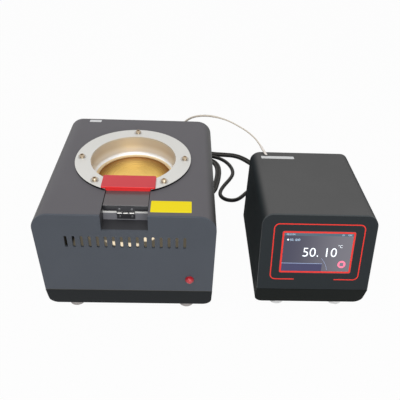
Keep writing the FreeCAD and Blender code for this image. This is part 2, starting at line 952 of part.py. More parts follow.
def gate_flap():
    """Lid of the channel, hollowed to the curve of the well at its rear end."""
    flap = box(about(heater.mid_x, gate_width), (step_y, well_y), (gate_bottom, gate_top))
    flap = flap.cut(cylinder(well_radius + gate_rear_clearance, heater_top, well_centre))
    front_top = []
    for edge in flap.Edges:
        bounds = edge.BoundBox
        if bounds.ZMin > gate_top - EDGE_TOLERANCE and bounds.YMax < handle_front:
            front_top.append(edge)
    flap = flap.makeFillet(gate_corner_round, front_top)
    for point in handle_screw_places():
        low = Vector(point.x, point.y, gate_bottom)
        flap = flap.cut(cylinder(handle_screw_radius, gate_top - gate_bottom, low))
        flap = flap.cut(cylinder(handle_screw_head_radius, handle_screw_head, low))
    for x in hinge_screw_places():
        hole = Vector(x, step_y, hinge_z + hinge_screw_offset)
        flap = flap.cut(cylinder(hinge_screw_radius, hinge_screw_reach, hole, AXIS_Y))
    return flap


def handle_screw_places():
    y = handle_front + handle_screw_setback
    return [Vector(heater.mid_x + sign * handle_screw_spread, y, 0) for sign in (-1, 1)]


def gate_handle():
    """Moulded T-shaped handle: a stem in the ring's gap and a wider top plate."""
    across = about(heater.mid_x, handle_stem_width)
    above = box(across, (handle_front, well_y), (heater_top, handle_under))
    below = box(about(heater.mid_x, gate_width), (handle_front, well_y), (gate_top, heater_top))
    stem = above.fuse(below).cut(
        cylinder(well_radius + gate_rear_clearance, handle_top, well_centre),
    )
    plate = box(
        about(heater.mid_x, handle_width), (handle_front, handle_front + handle_depth),
        (handle_under, handle_top),
    )
    upright = [e for e in plate.Edges if e.BoundBox.ZLength > handle_plate - EDGE_TOLERANCE]
    plate = plate.makeFillet(handle_corner_radius, upright)
    rim = [e for e in plate.Edges if e.BoundBox.ZMin > handle_top - EDGE_TOLERANCE]
    plate = plate.makeFillet(handle_edge_round, rim)
    handle = plate.fuse(stem).removeSplitter()
    for point in handle_screw_places():
        handle = handle.cut(
            cylinder(handle_screw_radius, handle_screw_reach, Vector(point.x, point.y, gate_top)),
        )
    return handle


def handle_screws():
    """Screws from under the gate into the handle."""
    made = []
    for point in handle_screw_places():
        low = Vector(point.x, point.y, gate_bottom)
        length = gate_top - gate_bottom + handle_screw_reach
        head = cylinder(handle_screw_head_radius, handle_screw_head, low)
        made.append(head.fuse(cylinder(handle_screw_radius, length, low)).removeSplitter())
    return group(made)


def hinge_screw_places():
    return [heater.mid_x + sign * hinge_screw_spread for sign in (-1, 1)]


def knuckle_ranges():
    """x ranges of the hinge's three knuckles, the middle one on the gate's leaf."""
    third = hinge_width / 3
    low = heater.mid_x - hinge_width / 2
    return [
        (low + step * third + hinge_knuckle_gap / 2, low + (step + 1) * third - hinge_knuckle_gap / 2)
        for step in range(3)
    ]


def hinge_leaf_shape(side, knuckles, bore):
    """A leaf of the butt hinge: side is +1 above the pin and -1 below it."""
    clear = hinge_knuckle_radius + hinge_knuckle_gap
    span = sorted((hinge_z + side * clear, hinge_z + side * hinge_leaf_reach))
    depth = (step_y - hinge_leaf, step_y)
    leaf = box(about(heater.mid_x, hinge_width), depth, span)
    for x_range in knuckles:
        neck = sorted((hinge_z, hinge_z + side * clear))
        start = Vector(x_range[0], hinge_y, hinge_z)
        length = x_range[1] - x_range[0]
        leaf = leaf.fuse(box(x_range, depth, neck))
        leaf = leaf.fuse(cylinder(hinge_knuckle_radius, length, start, AXIS_X))
        leaf = leaf.cut(cylinder(bore, length, start, AXIS_X))
    for x in hinge_screw_places():
        hole = Vector(x, step_y - hinge_leaf, hinge_z + side * hinge_screw_offset)
        leaf = leaf.cut(cylinder(hinge_screw_radius, hinge_leaf, hole, AXIS_Y))
    return leaf.removeSplitter()


def hinge_leaf_fixed():
    ranges = knuckle_ranges()
    return hinge_leaf_shape(-1, (ranges[0], ranges[2]), hinge_pin_radius)


def hinge_leaf_gate():
    return hinge_leaf_shape(1, knuckle_ranges()[1:2], hinge_pin_radius + hinge_pin_clearance)


def hinge_pin():
    start = Vector(heater.mid_x - hinge_width / 2, hinge_y, hinge_z)
    return cylinder(hinge_pin_radius, hinge_width, start, AXIS_X)


def hinge_screws(side):
    """The two screws of one leaf."""
    made = []
    for x in hinge_screw_places():
        z = hinge_z + side * hinge_screw_offset
        face = step_y - hinge_leaf
        head = turned(
            (
                (0, 0), (hinge_screw_head_radius, 0),
                (hinge_screw_crown_radius, hinge_screw_head), (0, hinge_screw_head),
            ),
            Vector(x, face, z), AXIS_Y * -1,
        )
        length = hinge_leaf + (hinge_screw_reach if side > 0 else tray_sheet)
        shank = cylinder(hinge_screw_radius, length, Vector(x, face, z), AXIS_Y)
        made.append(head.fuse(shank).removeSplitter())
    return group(made)


def lamp_bezel():
    """Moulded rim round the indicator lamp."""
    outside = (
        (lamp_hole_radius, 0), (lamp_bezel_radius, 0),
        (lamp_bezel_radius - lamp_bezel_taper, lamp_bezel_out),
        (lamp_hole_radius - lamp_bezel_wall, lamp_bezel_out),
        (lamp_hole_radius - lamp_bezel_wall, -lamp_body), (lamp_hole_radius, -lamp_body),
    )
    return turned(outside, Vector(lamp_x, heater.front, lamp_z), AXIS_Y * -1)


def lamp_lens():
    """Domed lens that fills the bezel."""
    radius = lamp_hole_radius - lamp_bezel_wall
    rim = lamp_bezel_out
    sphere_radius = (radius ** 2 + lamp_dome ** 2) / (2 * lamp_dome)
    front = Vector(lamp_x, heater.front, lamp_z)
    dome = Part.makeSphere(sphere_radius, front + AXIS_Y * (sphere_radius - lamp_dome - rim))
    cap = dome.common(cylinder(radius, lamp_dome, front - AXIS_Y * (rim + lamp_dome), AXIS_Y))
    barrel = cylinder(radius, lamp_body + rim, front - AXIS_Y * rim, AXIS_Y)
    return cap.fuse(barrel).removeSplitter()


def panel_socket(x, housing):
    """Round panel socket: flange and barrel outside, nut inside."""
    face = Vector(x, housing.back, socket_z)
    profile = (
        (0, -back_plate - socket_nut), (socket_nut_radius, -back_plate - socket_nut),
        (socket_nut_radius, -back_plate), (socket_radius, -back_plate), (socket_radius, 0),
        (socket_flange_radius, 0), (socket_flange_radius, socket_flange),
        (socket_radius, socket_flange), (socket_radius, socket_reach), (0, socket_reach),
    )
    return turned(profile, face, AXIS_Y)


def lead_plug(x, housing, lead_diameter):
    """Plug with a coupling ring, a body and a strain relief that tapers to its lead."""
    bore = socket_radius + plug_bore_clearance
    tail = lead_diameter / 2 + plug_tail_wall
    profile = (
        (bore, socket_flange), (plug_ring_radius, socket_flange), (plug_ring_radius, plug_ring_length),
        (plug_body_radius, plug_ring_length), (plug_body_radius, plug_body_length),
        (tail, plug_length), (0, plug_length), (0, socket_reach), (bore, socket_reach),
    )
    return turned(profile, Vector(x, housing.back, socket_z), AXIS_Y)


def lead_points(first, last, route, landing):
    """All points of a lead, from its heater end to its controller end."""
    middle = [Vector(x, heater.back + behind, z) for x, behind, z in route]
    arrival = [last + Vector(*offset) for offset in landing]
    return [first, *middle, *arrival, last]


def plug_end(x, housing):
    """The point where a lead leaves its plug."""
    return Vector(x, housing.back + plug_length, socket_z)


def heater_lead():
    first = plug_end(heater_lead_x, heater)
    last = plug_end(heater_lead_far_x, controller)
    points = lead_points(first, last, heater_lead_route, heater_lead_landing)
    return tube(points, heater_lead_diameter / 2)


def link_lead():
    first = plug_end(link_lead_x, heater)
    last = plug_end(link_lead_far_x, controller)
    points = lead_points(first, last, link_lead_route, link_lead_landing)
    return tube(points, link_lead_diameter / 2)


def sensor_gland():
    """Gland in the back plate that the sensor lead comes out of."""
    profile = (
        (0, -back_plate), (gland_tail_radius, -back_plate), (gland_tail_radius, 0), (gland_radius, 0),
        (gland_radius, gland_flange), (gland_dome_radius, gland_flange),
        (gland_dome_radius, gland_dome), (gland_tail_radius, gland_length), (0, gland_length),
    )
    return turned(profile, Vector(gland_x, heater.back, gland_z), AXIS_Y)


def sleeve_axis():
    return Vector(sleeve_lean_x, sleeve_lean_y, 1).normalize()


def jack_mouth():
    """Middle of the jack's top face, where the sleeve goes in."""
    return Vector(jack_x, jack_y, controller.top + jack_height)


def sleeve_end():
    return jack_mouth() + sleeve_axis() * (sleeve_rise / sleeve_axis().z)


def sensor_lead():
    first = Vector(gland_x, heater.back + gland_length, gland_z)
    straight = sleeve_axis() * sensor_lead_straight
    landing = (*sensor_lead_landing, tuple(straight))
    points = lead_points(first, sleeve_end(), sensor_lead_route, landing)
    return tube(points, sensor_lead_diameter / 2)


def sensor_sleeve():
    """Pale crimp sleeve on the lead's end, cut level where it meets the jack."""
    axis = sleeve_axis()
    start = jack_mouth() - axis * sleeve_rise
    rod = cylinder(sleeve_radius, start.distanceToPoint(sleeve_end()), start, axis)
    above = box(
        about(jack_x, 4 * sleeve_rise), about(jack_y, 4 * sleeve_rise),
        (jack_mouth().z, jack_mouth().z + 2 * sleeve_rise),
    )
    return rod.common(above)


def sensor_jack():
    """Bushing in the controller's top."""
    profile = (
        (0, -wall), (jack_throat, -wall), (jack_throat, 0), (jack_radius, 0),
        (jack_radius, jack_height / 2), (jack_throat, jack_height), (0, jack_height),
    )
    return turned(profile, Vector(jack_x, jack_y, controller.top))


def controller_cover():
    hole = cylinder(jack_throat, wall, Vector(jack_x, jack_y, controller.top - wall))
    return cover(controller).cut(hole)


def on_front(shape):
    """Stands a shape, drawn with y into the panel and z up its slope, on the controller's front."""
    shape.Placement = FreeCAD.Placement(
        Vector(controller.mid_x, controller.front, controller.break_z),
        FreeCAD.Rotation(AXIS_X, -controller_tilt),
    )
    return shape


def glass_blank(grow, y_range):
    """The touch glass's outline, grown all round, between two depths in the panel."""
    return on_front(rounded_plate(
        about(0, glass_width + 2 * grow), about(glass_slope, glass_height + 2 * grow),
        glass_corner_radius + grow, y_range,
    ))


def controller_front_plate():
    return front_blank(controller).cut(glass_blank(glass_clearance, (0, front_plate)))


def touch_glass():
    return glass_blank(0, (front_plate - glass_thickness, front_plate))


def display_module():
    """Display in its steel frame, behind the glass and wider than the window."""
    return glass_blank(display_margin, (front_plate, front_plate + display_thickness))


def controller_back_plate():
    start = controller.back - back_plate
    plate = back_blank(controller)
    for x in (heater_lead_far_x, link_lead_far_x):
        plate = plate.cut(cylinder(socket_radius, back_plate, Vector(x, start, socket_z), AXIS_Y))
    plate = plate.cut(box(
        about(inlet_x, inlet_body_width), (start, controller.back), about(inlet_z, inlet_body_height),
    ))
    return plate.cut(box(
        about(switch_x, switch_opening_width + 2 * switch_frame), (start, controller.back),
        about(switch_z, switch_opening_height + 2 * switch_frame),
    ))


def mains_inlet():
    """Flanged mains inlet with a shrouded recess."""
    face = controller.back
    flange = rounded_plate(
        about(inlet_x, inlet_flange_width), about(inlet_z, inlet_flange_height),
        inlet_corner_radius, (face, face + inlet_flange),
    )
    body = box(
        about(inlet_x, inlet_body_width), (face - inlet_body_depth, face),
        about(inlet_z, inlet_body_height),
    )
    mouth = face + inlet_flange
    half = inlet_recess_width / 2
    low, high = about(inlet_z, inlet_recess_height)
    shoulder = high - inlet_recess_corner
    outline = [
        Vector(inlet_x - half, mouth, low), Vector(inlet_x + half, mouth, low),
        Vector(inlet_x + half, mouth, shoulder), Vector(inlet_x + half - inlet_recess_corner, mouth, high),
        Vector(inlet_x - half + inlet_recess_corner, mouth, high), Vector(inlet_x - half, mouth, shoulder),
    ]
    recess = Part.Face(Part.makePolygon(outline + outline[:1])).extrude(AXIS_Y * -inlet_recess_depth)
    return flange.fuse(body).removeSplitter().cut(recess)


def inlet_pins():
    floor = controller.back + inlet_flange - inlet_recess_depth
    made = []
    for x, z in ((-pin_spread, -pin_stagger), (0, pin_stagger), (pin_spread, -pin_stagger)):
        made.append(box(
            about(inlet_x + x, pin_width), (floor, floor + pin_length), about(inlet_z + z, pin_height),
        ))
    return group(made)


def rocker_pivot():
    """Middle of the rocker's pin, level with the back plate's outer face."""
    return Vector(switch_x, controller.back - rocker_peak + switch_frame, switch_z)


def switch_frame_piece():
    """Snap-in frame of the mains switch, with the pin that carries the rocker."""
    face = controller.back
    flange = rounded_plate(
        about(switch_x, switch_frame_width), about(switch_z, switch_frame_height),
        switch_frame, (face, face + switch_frame),
    )
    body = box(
        about(switch_x, switch_opening_width + 2 * switch_frame), (face - switch_depth, face),
        about(switch_z, switch_opening_height + 2 * switch_frame),
    )
    hollow = box(
        about(switch_x, switch_opening_width), (face - switch_depth + switch_frame, face + switch_frame),
        about(switch_z, switch_opening_height),
    )
    pivot = rocker_pivot()
    pin = cylinder(
        rocker_pin_radius, switch_opening_width, pivot - AXIS_X * (switch_opening_width / 2), AXIS_X,
    )
    return flange.fuse(body).cut(hollow).fuse(pin).removeSplitter()


def switch_rocker():
    """Two-faced rocker, drawn level and then tipped to its off side."""
    pivot = rocker_pivot()
    profile = (
        (pivot.y - rocker_root, pivot.z - rocker_root_half),
        (pivot.y + rocker_peak, pivot.z - rocker_half_height),
        (pivot.y + rocker_dip, pivot.z),
        (pivot.y + rocker_peak, pivot.z + rocker_half_height),
        (pivot.y - rocker_root, pivot.z + rocker_root_half),
    )
    width = switch_opening_width - 2 * rocker_clearance
    rocker = prism_x(profile, about(switch_x, width))
    bore = cylinder(
        rocker_pin_radius + rocker_pin_clearance, width, pivot - AXIS_X * (width / 2), AXIS_X,
    )
    rocker = rocker.cut(bore)
    rocker.rotate(pivot, AXIS_X, -rocker_throw / 2)
    return rocker


def board_corner():
    """Front left corner of the main board, on its standoffs."""
    return Vector(
        controller.mid_x - board_width / 2, controller.front + board_front_gap,
        controller.floor + board_standoff,
    )


def board_hole_places():
    corner = board_corner()
    return [
        Vector(corner.x + x, corner.y + y, controller.floor)
        for x in (board_hole_inset, board_width - board_hole_inset)
        for y in (board_hole_inset, board_depth - board_hole_inset)
    ]


def main_board():
    return Part.makeBox(board_width, board_depth, board_thickness, board_corner())


def board_standoffs():
    return group([
        cylinder(board_standoff_radius, board_standoff, point) for point in board_hole_places()
    ])


def sink_corner():
    """Front right corner of the heat sink, on the base tray behind the board."""
    return Vector(
        controller.mid_x + controller_width / 2 - sink_side_gap,
        controller.front + board_front_gap + board_depth + board_hole_inset, controller.floor,
    )


def heat_sink():
    """Finned block that the relay sits on, with its fins turned down."""
    corner = sink_corner()
    base = box(
        (corner.x - relay_width, corner.x), (corner.y, corner.y + relay_depth),
        (corner.z + sink_height - sink_base, corner.z + sink_height),
    )
    step = (relay_width - sink_fin) / (sink_fin_count - 1)
    for index in range(sink_fin_count):
        x = corner.x - relay_width + index * step
        base = base.fuse(box(
            (x, x + sink_fin), (corner.y, corner.y + relay_depth),
            (corner.z, corner.z + sink_height - sink_base),
        ))
    return base.removeSplitter()


def solid_state_relay():
    corner = sink_corner()
    return box(
        (corner.x - relay_width, corner.x), (corner.y, corner.y + relay_depth),
        (corner.z + sink_height, corner.z + sink_height + relay_height),
    )


def power_supply():
    """Boxed supply at the left, hung above the board on the cover's side."""
    left = controller.mid_x - controller_width / 2 + wall
    back = controller.back - back_plate - supply_back_gap
    low = controller.floor + board_standoff + board_thickness + supply_side_gap
    return box((left, left + supply_width), (back - supply_depth, back), (low, low + supply_height))


def nodes():
    """Every node's name and the function that makes it."""
    return {
        "heater_cover": heater_cover,
        "heater_front_plate": heater_front_plate,
        "heater_back_plate": heater_back_plate,
        "heater_base_tray": lambda: base_tray(heater),
        "heater_feet": lambda: feet(heater),
        "ring_flange": ring_flange,
        "ring_washers": ring_washers,
        "ring_screws": ring_screws,
        "ring_nuts": ring_nuts,
        "well_liner": well_liner,
        "hot_plate": hot_plate,
        "heating_element": heating_element,
        "clamp_plate": clamp_plate,
        "clamp_stud": clamp_stud,
        "insulation": insulation,
        "heat_shroud": heat_shroud,
        "carrier_plate": carrier_plate,
        "carrier_standoffs": standoffs,
        "sensor_probe": probe_space,
        "thermostat": thermostat,
        "notch_tray": notch_tray,
        "gate_seat": gate_seat,
        "gate_flap": gate_flap,
        "gate_handle": gate_handle,
        "handle_screws": handle_screws,
        "hinge_leaf_fixed": hinge_leaf_fixed,
        "hinge_leaf_gate": hinge_leaf_gate,
        "hinge_pin": hinge_pin,
        "hinge_screws_fixed": lambda: hinge_screws(-1),
        "hinge_screws_gate": lambda: hinge_screws(1),
        "lamp_bezel": lamp_bezel,
        "lamp_lens": lamp_lens,
        "heater_sockets": lambda: group([panel_socket(x, heater) for x in (heater_lead_x, link_lead_x)]),
        "sensor_gland": sensor_gland,
        "foot_screws": foot_screws,
        "panel_screws": panel_screws,
        "controller_cover": controller_cover,
        "controller_front_plate": controller_front_plate,
        "controller_back_plate": controller_back_plate,
        "controller_base_tray": lambda: base_tray(controller),
        "controller_feet": lambda: feet(controller),
        "touch_glass": touch_glass,
        "display_module": display_module,
        "main_board": main_board,
        "board_standoffs": board_standoffs,
        "power_supply": power_supply,
        "heat_sink": heat_sink,
        "solid_state_relay": solid_state_relay,
        "mains_inlet": mains_inlet,
        "inlet_pins": inlet_pins,
        "switch_frame": switch_frame_piece,
        "switch_rocker": switch_rocker,
        "controller_sockets": lambda: group(
            [panel_socket(x, controller) for x in (heater_lead_far_x, link_lead_far_x)]
        ),
        "sensor_jack": sensor_jack,
        "sensor_sleeve": sensor_sleeve,
        "sensor_lead": sensor_lead,
        "heater_lead": heater_lead,
        "heater_lead_plugs": lambda: group([
            lead_plug(heater_lead_x, heater, heater_lead_diameter),
            lead_plug(heater_lead_far_x, controller, heater_lead_diameter),
        ]),
        "link_lead": link_lead,
        "link_lead_plugs": lambda: group([
            lead_plug(link_lead_x, heater, link_lead_diameter),
            lead_plug(link_lead_far_x, controller, link_lead_diameter),
        ]),
    }


def origin():
    """Point on the bench under the middle of the two housings and what stands out of them."""
    left = heater.mid_x - heater_width / 2
    right = controller.mid_x + controller_width / 2
    front = heater.front - lamp_bezel_out - lamp_dome
    return Vector((left + right) / 2, (front + socket_front) / 2, 0)


def export():
    os.makedirs("parts", exist_ok=True)
    shift = origin() * -1
    for name, make in nodes().items():
        shape = make()
        shape.translate(shift)
        shape.exportStep("parts/" + name + ".step")
        valid = shape.isValid()
        print(name, "solids", len(shape.Solids), "volume", round(shape.Volume), "" if valid else "NOT VALID")


if __name__ == "__main__":
    export()
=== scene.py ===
"""Looks of the heated-well unit and its touch-screen controller.

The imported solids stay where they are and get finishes. The three leads, their plugs, the printed
lines, the lit screen, the plain stickers and the switch marks are built here. Sizes are written in
millimetres and turned into metres by MM; the leads' routes are in metres.
"""

import json
import logging
import math
from dataclasses import dataclass, field
from enum import Enum
from typing import Optional, Sequence

import bmesh
import bpy
from mathutils import Matrix, Vector


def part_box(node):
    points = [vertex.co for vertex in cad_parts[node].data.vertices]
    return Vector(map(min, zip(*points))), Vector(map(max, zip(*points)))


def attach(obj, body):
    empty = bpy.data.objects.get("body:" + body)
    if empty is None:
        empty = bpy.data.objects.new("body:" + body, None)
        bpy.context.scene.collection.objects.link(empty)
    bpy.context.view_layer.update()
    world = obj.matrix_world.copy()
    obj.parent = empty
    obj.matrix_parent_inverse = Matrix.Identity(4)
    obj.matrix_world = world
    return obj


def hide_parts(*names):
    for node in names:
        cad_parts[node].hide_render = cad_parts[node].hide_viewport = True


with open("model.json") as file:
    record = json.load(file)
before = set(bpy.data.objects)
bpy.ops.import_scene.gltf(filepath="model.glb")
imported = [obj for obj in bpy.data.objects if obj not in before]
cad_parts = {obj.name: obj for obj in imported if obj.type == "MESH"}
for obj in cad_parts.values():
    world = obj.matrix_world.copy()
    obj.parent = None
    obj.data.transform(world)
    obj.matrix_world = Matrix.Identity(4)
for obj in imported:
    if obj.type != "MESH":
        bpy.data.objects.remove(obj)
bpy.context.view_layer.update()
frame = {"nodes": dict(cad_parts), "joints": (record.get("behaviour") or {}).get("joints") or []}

LOG = logging.getLogger("looks")
MM = 0.001
PHOTO_PIXELS = 400

SCREEN_CURVE_KNEE = 0.04045
SCREEN_CURVE_SLOPE = 12.92
SCREEN_CURVE_OFFSET = 0.055
SCREEN_CURVE_POWER = 2.4

MIX_FACTOR = 0
MIX_FIRST = 6
MIX_LAST = 7
MIX_RESULT = 2
NOISE_MIDDLE = (0.3, 0.7)
# The dim colour of the painted stray light that glows inside the housing.
STRAY_LIGHT = (94, 88, 76)
ACROSS = Vector((1, 0, 0))
BACKWARD = Vector((0, 1, 0))
UPWARD = Vector((0, 0, 1))

Point2 = tuple[float, float]
Point3 = tuple[float, float, float]
Colour = tuple[int, int, int]
Socket = bpy.types.NodeSocket


class Body(Enum):
    """The rigid bodies that the pieces made here ride on."""

    BASE = "base"
    ROCKER = "rocker"


class Layer(Enum):
    """Bottom and top of what the screen shows, above its glass, in millimetres."""

    FIELD = (0.0, 0.02)
    LINE = (0.02, 0.05)
    MARK = (0.05, 0.07)


class Relief(Enum):
    """How the fine relief of a finish runs."""

    GRAIN = "grain"
    RINGS = "rings"
    BRUSHED = "brushed"
    WOVEN = "woven"


def box_middle(node: str) -> Vector:
    """Returns the middle of a node's box, in metres."""
    low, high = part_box(node)
    return (low + high) / 2


def linear(colour: Colour, share: float = 1.0) -> tuple[float, float, float, float]:
    """Turns a screen colour into the renderer's linear one.

    Args:
        colour: Red, green and blue from 0 to 255, as seen on a screen.
        share: Factor on the linear value.

    Returns:
        Linear red, green, blue and an alpha of 1.
    """
    parts = []
    for value in colour:
        unit = value / 255
        part = unit / SCREEN_CURVE_SLOPE
        if unit > SCREEN_CURVE_KNEE:
            part = ((unit + SCREEN_CURVE_OFFSET) / (1 + SCREEN_CURVE_OFFSET)) ** SCREEN_CURVE_POWER
        parts.append(min(part * share, 1.0))
    return (parts[0], parts[1], parts[2], 1.0)


class ShaderSheet:
    """The node tree of one material, with short calls to add and join nodes."""

    def __init__(self, name: str) -> None:
        """Starts a material with its principled shader.

        Args:
            name: The material's name.
        """
        self.material = bpy.data.materials.new(name)
        self.material.use_nodes = True
        self.tree = self.material.node_tree
        self.shader = self.tree.nodes["Principled BSDF"]

    def add(self, kind: str, **settings: object) -> bpy.types.Node:
        """Adds a node.

        Args:
            kind: Blender's type name of the node.
            **settings: Properties of the node.

        Returns:
            The new node.
        """
        node = self.tree.nodes.new(kind)
        for key, value in settings.items():
            setattr(node, key, value)
        return node

    def join(self, out: Socket, into: Socket) -> None:
        """Links an output to an input."""
        self.tree.links.new(out, into)

    def set(self, socket: str, value: object) -> None:
        """Sets a value on the principled shader's own socket."""
        self.shader.inputs[socket].default_value = value

    def noise(self, vector: Socket, scale: float, detail: float) -> bpy.types.Node:
        """Adds a noise texture on given coordinates.

        Args:
            vector: The coordinates.
            scale: Count per unit of the coordinates.
            detail: Number of octaves.

        Returns:
            The node.
        """
        node = self.add("ShaderNodeTexNoise")
        node.inputs["Scale"].default_value = scale
        node.inputs["Detail"].default_value = detail
        self.join(vector, node.inputs["Vector"])
        return node

    def vector_math(self, operation: str, first: Socket, last: Socket | Point3) -> bpy.types.Node:
        """Adds an operation on a vector and a second vector, linked or fixed.

        Args:
            operation: Blender's name of the operation.
            first: The first vector.
            last: The second vector.

        Returns:
            The node.
        """
        node = self.add("ShaderNodeVectorMath", operation=operation)
        self.join(first, node.inputs[0])
        if isinstance(last, tuple):
            node.inputs[1].default_value = last
        else:
            self.join(last, node.inputs[1])
        return node

    def between(self, factor: Socket, first: Sequence[float], last: Sequence[float]) -> Socket:
        """Adds a mix of two colours and returns its result.

        Args:
            factor: 0 for the first colour and 1 for the last.
            first: A linear colour.
            last: Another one.

        Returns:
            The mixed colour.
        """
        node = self.add("ShaderNodeMix", data_type="RGBA")
        node.inputs[MIX_FIRST].default_value = first
        node.inputs[MIX_LAST].default_value = last
        self.join(factor, node.inputs[MIX_FACTOR])
        return node.outputs[MIX_RESULT]

    def tint(self, factor: Socket, under: Socket, colour: Sequence[float]) -> Socket:
        """Lays a colour over another one by a factor and returns the result.

        Args:
            factor: 0 for the colour beneath and 1 for the one laid over it.
            under: The colour beneath.
            colour: The linear colour laid over it.

        Returns:
            The mixed colour.
        """
        node = self.add("ShaderNodeMix", data_type="RGBA")
        self.join(under, node.inputs[MIX_FIRST])
        node.inputs[MIX_LAST].default_value = colour
        self.join(factor, node.inputs[MIX_FACTOR])
        return node.outputs[MIX_RESULT]

    def ramp(self, value: Socket, start: float, end: float) -> Socket:
        """Adds a smooth rise from 0 at one value to 1 at another and returns it.

        Args:
            value: What is mapped.
            start: The value that gives 0.
            end: The value that gives 1.

        Returns:
            The mapped value.
        """
        node = self.add("ShaderNodeMapRange", interpolation_type="SMOOTHSTEP")
        node.inputs["From Min"].default_value = start
        node.inputs["From Max"].default_value = end
        self.join(value, node.inputs["Value"])
        return node.outputs["Result"]

    def from_axis(self, place: Socket, point: Vector, keep: Point3) -> Socket:
        """Adds the vector from a point to a place and returns it.

        Args:
            place: Coordinates on the piece.
            point: A point of the axis.
            keep: Share of each component that is kept, 0 along the axis.

        Returns:
            The vector.
        """
        offset = self.vector_math("SUBTRACT", place, tuple(point)).outputs["Vector"]
        return self.vector_math("MULTIPLY", offset, keep).outputs["Vector"]

    def facing(self, direction: Point3) -> Socket:
        """Adds how far a face looks along a direction, from -1 to 1, and returns it."""
        normal = self.add("ShaderNodeTexCoord").outputs["Normal"]
        return self.vector_math("DOT_PRODUCT", normal, direction).outputs["Value"]

    def math(self, operation: str, first: Socket, last: Socket | float = 0.0) -> Socket:
        """Adds an operation on a value and a second value or number, and returns its result.

        Args:
            operation: Blender's name of the operation.
            first: The first value.
            last: The second value, or a number.

        Returns:
            The result.
        """
        node = self.add("ShaderNodeMath", operation=operation)
        self.join(first, node.inputs[0])
        if isinstance(last, float):
            node.inputs[1].default_value = last
        else:
            self.join(last, node.inputs[1])
        return node.outputs["Value"]

    def component(self, vector: Socket, axis: str) -> Socket:
        """Adds a vector's component along X, Y or Z and returns it.

        Args:
            vector: The vector.
            axis: X, Y or Z.

        Returns:
            The component.
        """
        node = self.add("ShaderNodeSeparateXYZ")
        self.join(vector, node.inputs["Vector"])
        return node.outputs[axis]

    def length(self, vector: Socket) -> Socket:
        """Adds the length of a vector and returns it."""
        return self.vector_math("LENGTH", vector, (0.0, 0.0, 0.0)).outputs["Value"]

    def spread(self, value: Socket, low: float, high: float) -> Socket:
        """Maps the middle of a noise onto a range and returns the result.

        Args:
            value: The noise.
            low: The range's lower end.
            high: Its upper end.

        Returns:
            The mapped value.
        """
        node = self.add("ShaderNodeMapRange")
        node.inputs["From Min"].default_value = NOISE_MIDDLE[0]
        node.inputs["From Max"].default_value = NOISE_MIDDLE[1]
        node.inputs["To Min"].default_value = low
        node.inputs["To Max"].default_value = high
        self.join(value, node.inputs["Value"])
        return node.outputs["Result"]


def from_well_axis(sheet: ShaderSheet, place: Socket, rise: float = 0.0) -> Socket:
    """Adds the vector from the well's axis to a place, with a share of its rise, and returns it."""
    return sheet.from_axis(place, box_middle("hot_plate"), (1.0, 1.0, rise))


